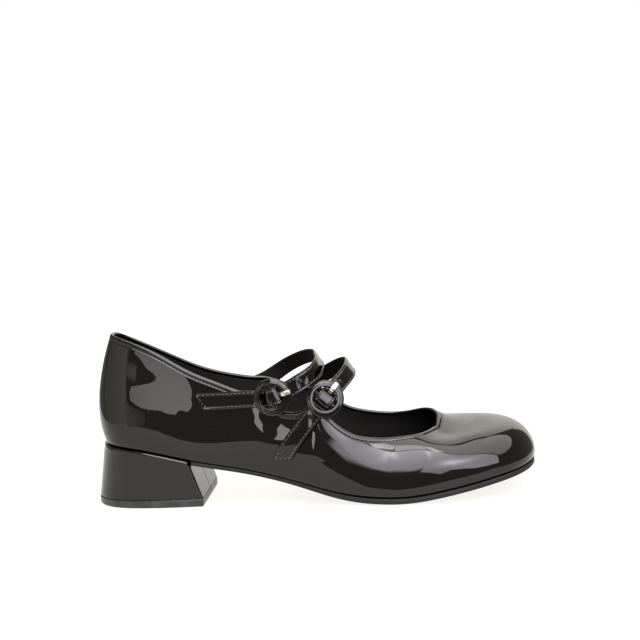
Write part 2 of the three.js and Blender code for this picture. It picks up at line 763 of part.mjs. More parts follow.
const shoe = new THREE.Group();

function addPiece(name, geometry, material) {
  const mesh = new THREE.Mesh(geometry, material);
  mesh.name = name;
  shoe.add(mesh);
}

addPiece("upper", upper(), finishes.patent);
addPiece("outsole", outsole(), finishes.rubber);
addPiece("insole", insole(), finishes.lining);
addPiece("heel_block", heelBlock(), finishes.patent);
addPiece("top_lift", topLift(), finishes.rubber);

for (const [name, strap] of Object.entries(straps)) {
  const course = new Course(strap, strap.tail.length + strap.barAt);
  addPiece(`strap_${name}`, strapBand(course, strap.holes), finishes.patent);
  addPiece(`buckle_${name}`, buckleRing(course), finishes.covered);
  addPiece(`prong_${name}`, prong(course), finishes.metal);
}

// The shoe's origin is the middle of the bottom of its box.
const box = new THREE.Box3().setFromObject(shoe, true);
const middle = box.getCenter(v3(0, 0, 0));
shoe.position.set(-middle.x, -middle.y, -box.min.z);

export default shoe;
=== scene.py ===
"""A double-strap mary jane in black patent on a low block heel, for the right foot."""
import math

import bpy
import numpy as np
from mathutils import Matrix, Vector


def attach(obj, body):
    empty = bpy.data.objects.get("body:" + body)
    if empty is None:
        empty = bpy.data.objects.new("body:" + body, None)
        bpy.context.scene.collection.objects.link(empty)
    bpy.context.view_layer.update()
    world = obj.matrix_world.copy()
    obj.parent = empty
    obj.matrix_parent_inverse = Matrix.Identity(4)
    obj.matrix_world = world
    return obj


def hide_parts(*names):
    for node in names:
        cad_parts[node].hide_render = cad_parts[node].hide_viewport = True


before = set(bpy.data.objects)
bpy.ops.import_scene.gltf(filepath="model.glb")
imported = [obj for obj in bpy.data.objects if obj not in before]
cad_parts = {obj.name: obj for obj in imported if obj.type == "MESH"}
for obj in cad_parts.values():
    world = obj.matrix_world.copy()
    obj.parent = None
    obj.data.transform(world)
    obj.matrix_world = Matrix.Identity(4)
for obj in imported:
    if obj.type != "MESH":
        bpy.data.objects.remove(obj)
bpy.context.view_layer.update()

bl_info = {
    "name": "Double-strap mary jane",
    "version": (1, 0, 0),
    "blender": (4, 5, 0),
    "location": "View3D > Sidebar > Shoe",
    "description": "Builds a patent mary jane with two buckled straps around its packed solids",
    "category": "Mesh",
}

BODY = "root"
MM = 0.001

# ---- the last ------------------------------------------------------------------------------
# Millimetres from the back of the last, +X towards the toe, +Y towards the inner side, +Z up.
LENGTH = 248.0  # unit of length for the tables
WIDTH = 80.0  # unit of width
HEIGHT = 62.0  # unit of height
LAST_TO_FRAME = np.array([-120.377, 0.768, 0.0])  # moves the last to the middle of the floor
WALL = 1.9  # patent and lining together
PATENT = 1.0  # the outer layer of it
GAP = 0.42  # between the seat of the last and the sole
SECTION_COLUMNS = ("at", "outer", "inner", "top_at", "top_outer", "top_inner", "rim_outer", "rim_inner",
                   "swell", "rise", "belly", "belly_up", "push", "crown")
SECTIONS = (
    (0.005, 0, 0, 0.035, 0, 0, 1.001, 1.001, 4.5, 13, 4.5, 26, 6, -14),  # heel back
    (0.032, 0.23, 0.22, 0.055, 0.152, 0.145, 0.985, 0.952, 4.2, 12, 3, 28, 4.5, -16),  # heel corner
    (0.105, 0.325, 0.312, 0.134, 0.231, 0.225, 0.904, 0.814, 3.5, 12, 1.8, 28, 2.5, -15),  # heel side
    (0.208, 0.335, 0.312, 0.222, 0.281, 0.275, 0.807, 0.726, 2.5, 12, 1, 24, 1.5, -13),  # breast
    (0.312, 0.319, 0.263, 0.319, 0.319, 0.312, 0.724, 0.674, 3, 11, 1.5, 22, 1, -12),  # waist
    (0.417, 0.35, 0.244, 0.419, 0.344, 0.344, 0.617, 0.65, 3.5, 9, 2, 19, 1.5, -10),  # shank
    (0.518, 0.425, 0.312, 0.514, 0.379, 0.369, 0.67, 0.627, 3.5, 9, 2, 20, 2.5, -10),  # instep
    (0.613, 0.485, 0.419, 0.588, 0.394, 0.377, 0.555, 0.588, 3, 8, 1, 18, 4, -7),  # back of the ball
    (0.706, 0.506, 0.479, 0.682, 0.34, 0.368, 0.509, 0.547, 2.5, 8, -1, 22, 6, -3),  # ball
    (0.796, 0.491, 0.481, 0.736, 0.29, 0.269, 0.473, 0.547, 3, 8, -3, 24, 12, -5),  # toes
    (0.883, 0.415, 0.425, 0.762, 0.159, 0.172, 0.423, 0.504, 4, 8, -7, 31, 19, -11),  # toe side
    (0.954, 0.256, 0.294, 0.769, 0.113, 0.087, 0.393, 0.462, 6, 7.5, -10.5, 38.5, 24, -14.5),  # toe corner
    (0.986, -0.025, 0.025, 0.772, -0.013, 0.013, 0.431, 0.431, 6.9, 7.4, -12, 41.5, 25.6, -16.5),  # toe tip
)
SEAT_LINE = (  # place along, height of the seat
    (-0.012, 35.9), (0.05, 35.0), (0.1, 33.3), (0.15, 30.6), (0.21, 26.7), (0.33, 20.3), (0.45, 13.0),
    (0.57, 5.5), (0.655, 2.9), (0.705, 3.1), (0.775, 5.4), (0.84, 8.2), (0.905, 11.2), (1.0, 15.3),
)
EDGE_LIFT = 1.1  # the forepart's seat curls up by this much at the edges
EDGE_LIFT_RUN = (0.5, 0.66)  # it begins between these shares of the length
ARCH_LIFT = 3.0  # the seat's rise on the inner side, under the arch
ARCH_AT, ARCH_REACH = 0.39, 0.13  # shares of the length
ARCH_SIDE = (0.05, 0.6)  # shares of the half width
TABS = ((-1, 92, 4, 8), (-1, 124.5, 5.5, 6.5), (1, 95, 2, 9), (1, 124, 4.5, 9))  # side, at, rise, reach
TAB_SIDE = (10, 22)  # they rise between these distances from the middle
SOLE_THICKNESS = 3.0
WAIST_THICKNESS = 2.2
THICKENING = (0.4, 0.6)  # shares of the length
SOLE_REVEAL = 0.8  # the outsole shows beyond the upper by this much
WAIST_REVEAL = -0.4  # and stays inside it at the waist
WIDENING = (0.42, 0.62)  # shares of the length
BREAST_GAP = 1.6  # between the heel's breast and the outsole's back edge
SOCK_THICKNESS = 2.6
SOCK_MARGIN = 0.7  # clear of the wall all round
SOCK_LIFT = 0.12
BREAST_AT = 52.2  # front face of the heel, at the seat
BREAST_BASE_AT = 58.9  # and at the floor
BREAST_SKEW = 0.024
BASE_BACK_AT = -4.9
BASE_TAPER = 0.93  # width at the floor over width at the seat
LIFT_THICKNESS = 4.3
HEEL_REVEAL = 1.2
LIFT_REVEAL = 0.15  # the top lift stands out beyond the cover by this much
COVER_GAP = 0.3  # between the heel's cover and its top lift
SEAM_DEPTH = 0.45  # the cover's seam down the middle of the breast

# ---- straps and buckles --------------------------------------------------------------------
STRAP_WIDTH = 9.6
STRAP_EDGE = 1.25  # from the edge to the stitching
TAIL_SLANT = 4.2  # one corner of the tail reaches this much further than the other
TAIL_SLANT_REACH = 14.0  # the slant fades over this length
STRAP_THICKNESS = 1.6
FACE_THICKNESS = 1.05  # the patent part of it
BACKING_GAP = 0.03
BACKING_NARROWER = 0.22  # on each side
BACKING_SHORTER = 0.3  # at each end
RING_RADIUS = 8.6
RIM_WIDTH = 3.7
RIM_THICKNESS = 2.8
BAR_RADIUS = 0.6
BAR_HEIGHT = 0.85
BAR_REACH = RING_RADIUS - 0.6  # half of its length, ending inside the rim
RING_HEIGHT = 2.65  # middle of the rim over the line of the strap
BULGE = 2.55  # how far the strap rises over the bar
BULGE_FLAT = 1.4  # half length of its flat top
BULGE_REACH = 6.3  # half length of all of it
PRONG_WIDTH = 2.5
PRONG_THICKNESS = 0.9
PRONG_CORNER = 0.28
PRONG_HOLE = 1.75  # radius
STRAP_HOLE = 1.0
CUTTER_LENGTH = 9.0  # of the punch that makes them
PRONG_AT = 4.5  # the prong's hole from the bar
PRONG_LINE = (  # the prong's middle line from under the bar to its tip: along the strap, height
    (-1.1, -0.2), (0, -0.6), (1.2, -0.4), (2.9, -0.2), (3.9, 0.5), (4.6, 2.0), (5.3, 3.6), (6.5, 4.7),
    (8.6, 4.9), (10.7, 4.8),
)
# Tail and root rows lie on the quarters: place along, height, lift off the wall. Arch rows stand free: the
# place, the tilt of the face in degrees and how far it looks ahead. bar_at is the arch row that carries the
# buckle's bar, and holes are distances from it.
STRAPS = {
    "rear": {
        "tail": ((60.2, 59.8, 1.2), (69.8, 60, 1.4), (80.6, 60.3, 1.9), (90.4, 60.4, 2.4)),
        "bar_at": 0,
        "arch": ((101.8, -29.5, 61.4, 6, -0.05), (116.2, -28.6, 68.2, 10, 0.13), (123.6, -24.4, 72.4, 9, 0.8),
                 (126.3, -18.4, 74.6, 16, 1.12), (126.8, -10.7, 76.2, 5, 0.54), (125.8, 0.1, 77.5, 104, 1.41),
                 (123, 8.2, 77.2, 127, 0.93), (117.2, 17.6, 75.2, 138, 0.45), (105.9, 27.4, 69.3, 140, 0.38)),
        "root": ((95.4, 62.4, 2.2), (87, 59, 1.7), (78.6, 56.2, 1.5)),
        "holes": (17.5,),
    },
    "front": {
        "tail": ((104.9, 26.2, 1.2), (110.2, 34.4, 1.4), (116.6, 42, 1.9)),
        "bar_at": 1,
        "arch": ((125.3, -33.5, 53.2, 8, -0.1), (130.7, -32.6, 59.3, 10, -0.05), (134.3, -30.2, 63, 16, 0.05),
                 (138.3, -25.6, 66.5, 6, 0.23), (142.4, -18.4, 70.1, 30, 1.07), (144, -10.1, 72.2, 55, 1.32),
                 (143.1, 0.4, 72.7, 126, 1.2), (139.5, 9.1, 71.1, 121, 1.01), (134.2, 16.9, 67.9, 140, 0.53),
                 (125.5, 26.7, 61.8, 146, 0.3)),
        "root": ((117.6, 54.2, 1.9), (111, 47.6, 1.3), (105, 41.8, 1.2)),
        "holes": (14, -12.5),
    },
}

# ---- small mathematics ---------------------------------------------------------------------


def smooth(x, low, high):
    """A soft step from 0 at low to 1 at high."""
    u = np.clip((np.asarray(x, float) - low) / (high - low), 0, 1)
    return u * u * (3 - 2 * u)


def unit(v):
    return v / np.linalg.norm(v, axis=-1, keepdims=True)


def lerp(a, b, u):
    return a + (b - a) * u


def spline_weights(f):
    """Weights of the four nearest rows of a uniform cubic B-spline."""
    g = 1 - f
    return g ** 3 / 6, (3 * f ** 3 - 6 * f ** 2 + 4) / 6, (3 * g ** 3 - 6 * g ** 2 + 4) / 6, f ** 3 / 6


def spline(rows, t, closed):
    """Points of a uniform cubic B-spline; t counts its rows."""
    t = np.asarray(t, float)
    n = len(rows)
    cell = np.floor(t).astype(int)
    if closed:
        picks = [rows[(cell - 1 + k) % n] for k in range(4)]
    else:
        cell = np.clip(cell, 0, n - 2)
        padded = np.vstack([2 * rows[0] - rows[1], rows, 2 * rows[-1] - rows[-2]])
        picks = [padded[cell + k] for k in range(4)]
    return sum(w[..., None] * p for w, p in zip(spline_weights(t - cell), picks))


def through_rows(rows, closed):
    """Control rows whose spline passes through the given rows."""
    rows = np.array(rows, float)
    control = rows.copy()
    for _ in range(60):
        fresh = (6 * rows - np.roll(control, 1, 0) - np.roll(control, -1, 0)) / 4
        if not closed:
            fresh[0], fresh[-1] = rows[0], rows[-1]
        control = fresh
    return control


def natural_spline(x, y):
    """A natural cubic spline through points, as a function."""
    x, y = np.array(x, float), np.array(y, float)
    n = len(x)
    a, b = np.eye(n), np.zeros(n)
    for i in range(1, n - 1):
        before, after = x[i] - x[i - 1], x[i + 1] - x[i]
        a[i, i - 1:i + 2] = before, 2 * (before + after), after
        b[i] = 6 * ((y[i + 1] - y[i]) / after - (y[i] - y[i - 1]) / before)
    bend = np.linalg.solve(a, b)

    def value(at):
        i = np.clip(np.searchsorted(x, at) - 1, 0, n - 2)
        h = x[i + 1] - x[i]
        u, v = (x[i + 1] - at) / h, (at - x[i]) / h
        return u * y[i] + v * y[i + 1] + ((u ** 3 - u) * bend[i] + (v ** 3 - v) * bend[i + 1]) * h * h / 6

    return value


# ---- the surfaces of the last --------------------------------------------------------------
seat_curve = natural_spline([p[0] * LENGTH for p in SEAT_LINE], [p[1] for p in SEAT_LINE])


def along_last(x, run):
    """0 to 1 between two shares of the last's length."""
    return smooth(x, run[0] * LENGTH, run[1] * LENGTH)


def seat_height(x, y):
    """Height of the surface that upper, sock and outsole share."""
    across = y / (WIDTH / 2)
    arch = np.exp(-(((x - ARCH_AT * LENGTH) / (ARCH_REACH * LENGTH)) ** 2))
    return (seat_curve(x) + EDGE_LIFT * along_last(x, EDGE_LIFT_RUN) * across ** 2
            + ARCH_LIFT * arch * smooth(across, *ARCH_SIDE))


def side_row(section, side):
    """One side of a section in millimetres, as a row of the loop."""
    s = dict(zip(SECTION_COLUMNS, section))
    name = "outer" if side < 0 else "inner"
    return [s["at"] * LENGTH, side * s[name] * WIDTH, s["top_at"] * LENGTH,
            side * s["top_" + name] * WIDTH, s["rim_" + name] * HEIGHT,
            s["swell"], s["rise"], s["belly"], s["belly_up"], s["push"], s["crown"]]


NUDGE = 1e-3  # of a parameter, for slopes
TOE = len(SECTIONS) - 1  # the loop's parameter at the toe; it starts at the heel, outer side first
WALL_ROWS = through_rows(
    [side_row(s, -1) for s in SECTIONS[:-1]] + [side_row(SECTIONS[-1], 1)]
    + [side_row(s, 1) for s in SECTIONS[-2:0:-1]], True)
AROUND = len(WALL_ROWS)


def tab_rise(x, y):
    """How far the topline climbs where a strap leaves it."""
    return sum(rise * smooth(side * y, *TAB_SIDE) * np.exp(-(((x - at) / reach) ** 2))
               for side, at, rise, reach in TABS)


def feather(t):
    """Feather edge: its row of the loop and its outward direction in plan."""
    along = unit(spline(WALL_ROWS, t + NUDGE, True)[..., :2] - spline(WALL_ROWS, t - NUDGE, True)[..., :2])
    return spline(WALL_ROWS, t, True), np.stack([along[..., 1], -along[..., 0]], -1)


def wall_point(t, s):
    """Outer face of the upper: t round the shoe, s from the feather edge up to the topline."""
    row, out = feather(t)
    x, y, top_x, top_y, rim, swell, rise, belly, belly_up, push, crown = np.moveaxis(row, -1, 0)
    foot_z = seat_height(x, y)
    top_z = foot_z + rim + tab_rise(top_x, top_y)

    def beside(px, py, pz, outward, up):
        return np.stack([px + out[..., 0] * outward, py + out[..., 1] * outward, pz + up], -1)

    pulls = (beside(x, y, foot_z, 0, 0), beside(x, y, foot_z, swell, rise),
             beside(x, y, foot_z, belly, belly_up), beside(top_x, top_y, top_z, push, crown),
             beside(top_x, top_y, top_z, 0, 0))
    r = 1 - s
    weights = (r ** 4, 4 * r ** 3 * s, 6 * r * r * s * s, 4 * r * s ** 3, s ** 4)
    return sum(w[..., None] * p for w, p in zip(weights, pulls))


def wall_normal(t, s):
    """Direction in which the outer face looks."""
    low, high = np.maximum(s - NUDGE, 0), np.minimum(s + NUDGE, 1)
    around = wall_point(t + NUDGE, s) - wall_point(t - NUDGE, s)
    up = wall_point(t, high) - wall_point(t, low)
    return unit(np.cross(around, up))


def on_quarter(x, z, side):
    """The outer face on one side at a place along and a height, with its normal."""
    t, s = np.array(5.0 if side < 0 else AROUND - 5.0), np.array(0.7)  # from the shank, high on the wall
    for _ in range(40):
        p = wall_point(t, s)
        dt = (wall_point(t + NUDGE, s) - p) / NUDGE
        ds = (wall_point(t, s + NUDGE) - p) / NUDGE
        det = dt[0] * ds[2] - dt[2] * ds[0]
        t = t + np.clip(((x - p[0]) * ds[2] - (z - p[2]) * ds[0]) / det, -1, 1)
        s = s + np.clip((dt[0] * (z - p[2]) - dt[2] * (x - p[0])) / det, -0.2, 0.2)
    return wall_point(t, s), wall_normal(t, s)


# ---- creases and dents in the wall ---------------------------------------------------------
# side, place along, height, half length, half height, lean in degrees, depth: soft troughs and ridges, mm
CREASES = (
    (-1, 165.0, 27.5, 7.5, 2.4, -51, -0.06),  # beside the throat, where the vamp bends
    (-1, 92.0, 48.5, 12.0, 3.2, -15, 0.07),  # waist, under the rear tail
    (-1, 35.0, 77.0, 7.0, 4.0, -12, 0.05),  # quarter, under the topline
    (1, 162.0, 27.0, 8.0, 2.6, -48, -0.06),  # the vamp's bend on the inner side
)


def crease_depth(p):
    """How far the outer face is pulled in at points of the wall, mm."""
    depth = np.zeros(p.shape[:-1])
    for side, x, z, half_long, half_high, lean, deep in CREASES:
        c, s = math.cos(math.radians(lean)), math.sin(math.radians(lean))
        dx, dz = p[..., 0] - x, p[..., 2] - z
        u, v = (dx * c + dz * s) / half_long, (dz * c - dx * s) / half_high
        depth += deep * np.exp(-u * u - v * v) * smooth(side * p[..., 1], 0, 8)
    return depth


# ---- rings in plan -------------------------------------------------------------------------


class Outline:
    """A closed ring in plan made of an outer and an inner side, with a spine that its rows close on."""

    def __init__(self, outer, inner, back, front, inset):
        self.ring = np.vstack([outer, front, inner[::-1], back[::-1]])
        middle = (outer + inner) / 2
        spine = np.clip(middle[:, 0], middle[:, 0].min() + inset, middle[:, 0].max() - inset)
        at = np.stack([spine, np.interp(spine, middle[:, 0], middle[:, 1])], -1)
        self.spine = np.vstack([at, np.repeat(at[-1:], len(front), 0), at[::-1],
                                np.repeat(at[:1], len(back), 0)])

    def normals(self):
        along = unit(np.roll(self.ring, -1, 0) - np.roll(self.ring, 1, 0))
        return np.stack([along[:, 1], -along[:, 0]], -1)

    def softened(self, reach):
        """The ring with its corners rounded over a given length."""
        step = np.linalg.norm(np.roll(self.ring, -1, 0) - self.ring, axis=1)
        place = np.concatenate([[0], np.cumsum(step)])
        total = place[-1]
        away = np.abs(place[:-1, None] - place[None, :-1])
        away = np.minimum(away, total - away)
        weights = np.exp(-((away / reach) ** 2)) * ((step + np.roll(step, 1)) / 2)[None, :]
        weights /= weights.sum(1, keepdims=True)
        self.ring = weights @ self.ring
        return self


def place_at(x, side):
    """The loop's parameter where the feather edge of one side passes a place along."""
    t = np.linspace(0, TOE, 2400)
    t = t if side < 0 else AROUND - t
    return float(np.interp(x, feather(t)[0][:, 0], t))


def feather_line(t, outwards):
    """The feather edge in plan, moved outwards by a function of the place along."""
    row, out = feather(t)
    return row[:, :2] + out * outwards(row[:, 0])[:, None]


def outsole_top(x, y):
    return seat_height(x, y) - GAP


def outsole_bottom(x, y):
    thickness = lerp(WAIST_THICKNESS, SOLE_THICKNESS, along_last(x, THICKENING))
    return np.maximum(0, outsole_top(x, y) - thickness)


def breast_x(y, share):
    """Place along of the heel's front face, from the seat (share 0) to the floor (share 1)."""
    return lerp(BREAST_AT, BREAST_BASE_AT, share) + BREAST_SKEW * y


def flared(p, share):
    """The heel's outline from the seat (share 0) down to the floor (share 1)."""
    seat_back = SECTIONS[0][0] * LENGTH - HEEL_REVEAL
    along = (p[:, 0] - seat_back) / (breast_x(p[:, 1], 0) - seat_back)
    base_x = lerp(BASE_BACK_AT, breast_x(p[:, 1], 1), along)
    return np.stack([lerp(p[:, 0], base_x, share), p[:, 1] * lerp(1, BASE_TAPER, share)], -1)


def turns(count):
    """Evenly spaced angles once round."""
    return np.arange(count) / count * 2 * math.pi


def straight(a, b, shares):
    return lerp(a[None, :], b[None, :], np.asarray(shares)[:, None])


# ---- meshes --------------------------------------------------------------------------------
SHARP = math.radians(40)  # edges steeper than this stay crisp
MERGE_WITHIN = 2e-6  # m
SLIVER = 1e-7  # edges shorter than this are dissolved, m


def select_only(*pieces):
    bpy.ops.object.select_all(action="DESELECT")
    for piece in pieces:
        piece.select_set(True)
    bpy.context.view_layer.objects.active = pieces[0]


def edit_whole(*tools):
    """Runs mesh tools, each with its settings, on the whole of the active piece."""
    bpy.ops.object.mode_set(mode="EDIT")
    for tool, settings in tools:
        bpy.ops.mesh.select_all(action="SELECT")
        tool(**settings)
    bpy.ops.object.mode_set(mode="OBJECT")


def lay_grid(name, points, rows_closed=False):
    """A grid primitive laid over closed rows of points in the last's millimetres, merged where it meets."""
    points = np.concatenate([points, points[:, :1]], 1)
    if rows_closed:
        points = np.concatenate([points, points[:1]], 0)
    rows, cols = points.shape[:2]
    bpy.ops.object.select_all(action="DESELECT")
    bpy.ops.mesh.primitive_grid_add(x_subdivisions=cols - 1, y_subdivisions=rows - 1, size=1)
    piece = bpy.context.object
    piece.name = piece.data.name = name
    mesh = piece.data
    if len(mesh.vertices) != rows * cols:
        raise RuntimeError(f"{name}: the grid has {len(mesh.vertices)} points, not {rows * cols}")
    placed = (points.reshape(-1, 3) + LAST_TO_FRAME) * MM
    mesh.vertices.foreach_set("co", placed.astype(np.float32).ravel())
    mesh.update()
    edit_whole((bpy.ops.mesh.remove_doubles, {"threshold": MERGE_WITHIN}),
               (bpy.ops.mesh.dissolve_degenerate, {"threshold": SLIVER}),
               (bpy.ops.mesh.fill_holes, {"sides": 0}),
               (bpy.ops.mesh.normals_make_consistent, {"inside": False}))
    bpy.ops.object.shade_smooth_by_angle(angle=SHARP)
    return piece


def joined(name, pieces):
    """Several meshes made one piece."""
    select_only(*pieces)
    bpy.ops.object.join()
    pieces[0].name = pieces[0].data.name = name
    return pieces[0]


def finished(piece, material, replaces=()):
    """Gives a piece its material and hangs it on the shoe."""
    piece.data.materials.clear()
    piece.data.materials.append(material)
    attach(piece, BODY)
    if replaces:
        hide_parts(*replaces)
    return piece


def plate(name, outline, rows, top_at, bottom_at, fill_rows=10):
    """A closed plate: edge rows of (inset, share of the height) from the bottom up, then both faces."""
    normals = outline.normals()

    def edge(inset, share):
        p = outline.ring - normals * inset
        z = lerp(bottom_at(p[:, 0], p[:, 1]), top_at(p[:, 0], p[:, 1]), share)
        return np.column_stack([p, z])

    def inside(start, face, u):
        p = lerp(start[:, :2], outline.spine, u)
        return np.column_stack([p, face(p[:, 0], p[:, 1])])

    rings = [edge(*row) for row in rows]
    steps = [k / fill_rows for k in range(1, fill_rows + 1)]
    below = [inside(rings[0], bottom_at, u) for u in reversed(steps)]
    above = [inside(rings[-1], top_at, u) for u in steps]
    return lay_grid(name, np.array(below + rings + above))


# ---- upper ---------------------------------------------------------------------------------
UPPER_COLUMNS = 456
FOOT_RADIUS = 1.1  # the leather turns under to the sole
EDGE_STITCH = 2.0  # topline stitching below the fold
STITCH_SINK = 0.17  # how deep its threads lie
GROOVE_DEPTH, GROOVE_WIDTH = 0.30, 0.33  # that the stitching pulls in
FOLD_SWELL, FOLD_AT, FOLD_REACH = 0.12, 0.9, 0.7  # the fold stands proud above it
LINING_SKIN = 0.08  # clearance between lining and patent


class WallRuler:
    """Finds places up the wall by their distance from the feather edge or from the topline, mm."""

    def __init__(self, t):
        self.t = t
        self.s = np.linspace(0, 1, 241)
        grid = wall_point(np.broadcast_to(t, (len(self.s), len(t))), self.s[:, None] + 0 * t)
        run = np.linalg.norm(np.diff(grid, axis=0), axis=2)
        self.up = np.vstack([np.zeros(len(t)), np.cumsum(run, 0)])
        self.height = self.up[-1]

    def share(self, up):
        up = np.broadcast_to(up, self.t.shape)
        return np.array([np.interp(up[k], self.up[:, k], self.s) for k in range(len(self.t))])

    def face(self, up, inward=0.0):
        """Points and normals at a distance above the feather edge, moved inwards."""
        s = self.share(up)
        p, n = wall_point(self.t, s), wall_normal(self.t, s)
        return p - n * np.broadcast_to(inward, self.t.shape)[:, None], n


def upper_levels(height, steps):
    """Distances up the wall: fine at the foot and under the fold, even between."""
    foot = (0.0, 0.2, 0.45, 0.75, 1.1, 1.6, 2.4)
    under = (5.2, 4.2, 3.5, 3.0, 2.65, 2.35, 2.15, 2.0, 1.85, 1.65, 1.4, 1.1, 0.75, 0.4, 0.15)
    top = height - WALL / 2
    levels = [np.full_like(height, a) for a in foot]
    levels += [lerp(foot[-1], top - under[0], k / steps) for k in range(1, steps)]
    return levels + [top - d for d in under]


def outer_inset(up, height):
    """Turned-under foot, groove of the stitching and the full fold above it."""
    down = height - WALL / 2 - up
    turn = FOOT_RADIUS - np.sqrt(np.maximum(0, FOOT_RADIUS ** 2 - np.maximum(0, FOOT_RADIUS - up) ** 2))
    groove = GROOVE_DEPTH * np.exp(-(((down - EDGE_STITCH) / GROOVE_WIDTH) ** 2))
    fold = -FOLD_SWELL * np.exp(-(((down - FOLD_AT) / FOLD_REACH) ** 2))
    return turn + groove + fold


def make_upper(name):
    """Outer face up to the topline, over the fold and down its back."""
    t = np.arange(UPPER_COLUMNS) / UPPER_COLUMNS * AROUND
    ruler = WallRuler(t)
    height = ruler.height
    outer = []
    for up in upper_levels(height, 34):
        s = ruler.share(up)
        p, n = wall_point(t, s), wall_normal(t, s)
        outer.append(p - n * (outer_inset(up, height) + crease_depth(p))[:, None])
    top = height - WALL / 2
    p, n = ruler.face(top)
    rise = unit(p - ruler.face(top - 0.5)[0])
    middle = p - n * WALL / 2
    fold = [middle + (n * math.cos(a) + rise * math.sin(a)) * WALL / 2
            for a in np.linspace(0, math.pi, 11)]
    turned_in = ((0.4, WALL), (0.9, WALL), (1.3, WALL), (1.5, WALL - 0.15), (1.55, PATENT), (2.4, PATENT))
    inner = [ruler.face(top - down, inset)[0] for down, inset in turned_in]
    inner += [ruler.face(lerp(top - turned_in[-1][0], 0, k / 14), PATENT)[0] for k in range(1, 15)]
    inner[-1][:, 2] += 0.1
    return lay_grid(name, np.array(outer + fold + inner), rows_closed=True)


def make_lining(name):
    """A thin wall inside the upper that ends under its turned-in edge."""
    t = np.arange(UPPER_COLUMNS // 2) / (UPPER_COLUMNS // 2) * AROUND
    ruler = WallRuler(t)
    top = ruler.height - WALL / 2
    back = PATENT + LINING_SKIN
    foot = 0.3
    outer = [ruler.face(lerp(foot, top - 1.9, k / 16), back)[0] for k in range(17)]
    edge = [ruler.face(top - down, inset)[0] for down, inset in
            ((1.7, back + 0.1), (1.62, PATENT + 0.45), (1.66, WALL - 0.1), (1.85, WALL))]
    inner = [ruler.face(lerp(top - 2.2, foot, k / 22), WALL)[0] for k in range(23)]
    return lay_grid(name, np.array(outer + edge + inner), rows_closed=True)


# ---- sole and heel -------------------------------------------------------------------------


def make_outsole(name):
    """From the breast of the heel to the toe, standing out under the forepart."""
    def reveal(x):
        return lerp(WAIST_REVEAL, SOLE_REVEAL, along_last(x, WIDENING))

    def side(sign):
        heel_end = place_at(breast_x(sign * 0.3 * WIDTH, 0) + BREAST_GAP, sign)
        toe = TOE if sign < 0 else AROUND - TOE
        return feather_line(np.linspace(heel_end, toe, 150), reveal)

    outer, inner = side(-1), side(1)
    back = straight(outer[0], inner[0], np.linspace(0, 1, 25)[1:-1])
    outline = Outline(outer[:-1], inner[:-1], back, outer[-1:], 16)
    rows = ((0.9, 0), (0.5, 0.02), (0.2, 0.1), (0.05, 0.22), (0, 0.4), (0, 0.7), (0.04, 0.86), (0.14, 0.95),
            (0.32, 1.0))
    return plate(name, outline.softened(0.6), rows, outsole_top, outsole_bottom, 14)


def make_sock(name):
    """The padded sock that fills the seat inside the wall."""
    def side(start):
        t = np.linspace(start, TOE if start == 0 else AROUND - TOE, 170)
        return feather_line(t, lambda x: np.full_like(x, -(WALL + SOCK_MARGIN)))

    outer, inner = side(0), side(AROUND)
    outline = Outline(outer[1:-1], inner[1:-1], outer[:1], outer[-1:], 14)

    def base(x, y):
        return seat_height(x, y) + SOCK_LIFT

    def top(x, y):
        return seat_height(x, y) + SOCK_THICKNESS

    rows = ((0.3, 0), (0, 0.15), (0, 0.5), (0.1, 0.75), (0.4, 0.92), (0.9, 1.0))
    return plate(name, outline, rows, top, base, 12)


def heel_outline(reveal):
    """The heel's ring in plan, where its breast starts in it and how many points the breast has."""
    ease = 1 - (1 - np.linspace(0, 1, 70)) ** 1.7  # closer together towards the breast

    def side(sign):
        breast = place_at(breast_x(sign * 0.33 * WIDTH, 0), sign)
        start = 0 if sign < 0 else AROUND
        return feather_line(lerp(start, breast, ease), lambda x: np.full_like(x, reveal))

    outer, inner = side(-1), side(1)
    across = np.array([0.01, 0.03, 0.055, 0.085, 0.12, 0.17, 0.23, 0.3, 0.37, 0.43, 0.465, 0.485, 0.492])
    shares = np.concatenate([across, [0.5], 1 - across[::-1]])
    front = straight(outer[-1], inner[-1], shares)
    return Outline(outer[1:], inner[1:], outer[:1], front, 12), len(outer) - 1, len(front)


def make_heel(name):
    """Covered block, longer at its base than at the seat, with a seam down the breast."""
    outline, first, count = heel_outline(HEEL_REVEAL)
    outline.softened(1.1)
    seam = np.zeros(len(outline.ring))
    seam[first + count // 2] = SEAM_DEPTH
    normals = outline.normals()
    base = LIFT_THICKNESS + COVER_GAP

    def ring(z_share, inset, drop):
        p = outline.ring - normals * (inset + seam)[:, None]
        top = outsole_top(outline.ring[:, 0], outline.ring[:, 1])
        q = flared(p, 1 - z_share)
        return np.column_stack([q, lerp(base, top, z_share) - drop])

    rings = [ring(0, 0.35, 0), ring(0, 0.1, -0.12), ring(0, 0, -0.35)]
    rings += [ring(k / 16, 0, 0) for k in range(1, 15)]
    rings += [ring(1, inset, drop) for inset, drop in
              ((0, 1.5), (0.05, 1.0), (0.22, 0.6), (0.5, 0.3), (0.9, 0.1), (1.4, 0.02), (2.0, 0))]

    def cap(start, face, share):
        rows = []
        for u in (0.12, 0.3, 0.5, 0.7, 0.85, 1.0):
            spine = flared(outline.spine, 1 - share)
            p = lerp(start[:, :2], spine, u)
            rows.append(np.column_stack([p, face(p)]))
        return rows

    below = cap(rings[0], lambda p: np.full(len(p), base), 0)[::-1]
    above = cap(rings[-1], lambda p: outsole_top(p[:, 0], p[:, 1]), 1)
    return lay_grid(name, np.array(below + rings + above))


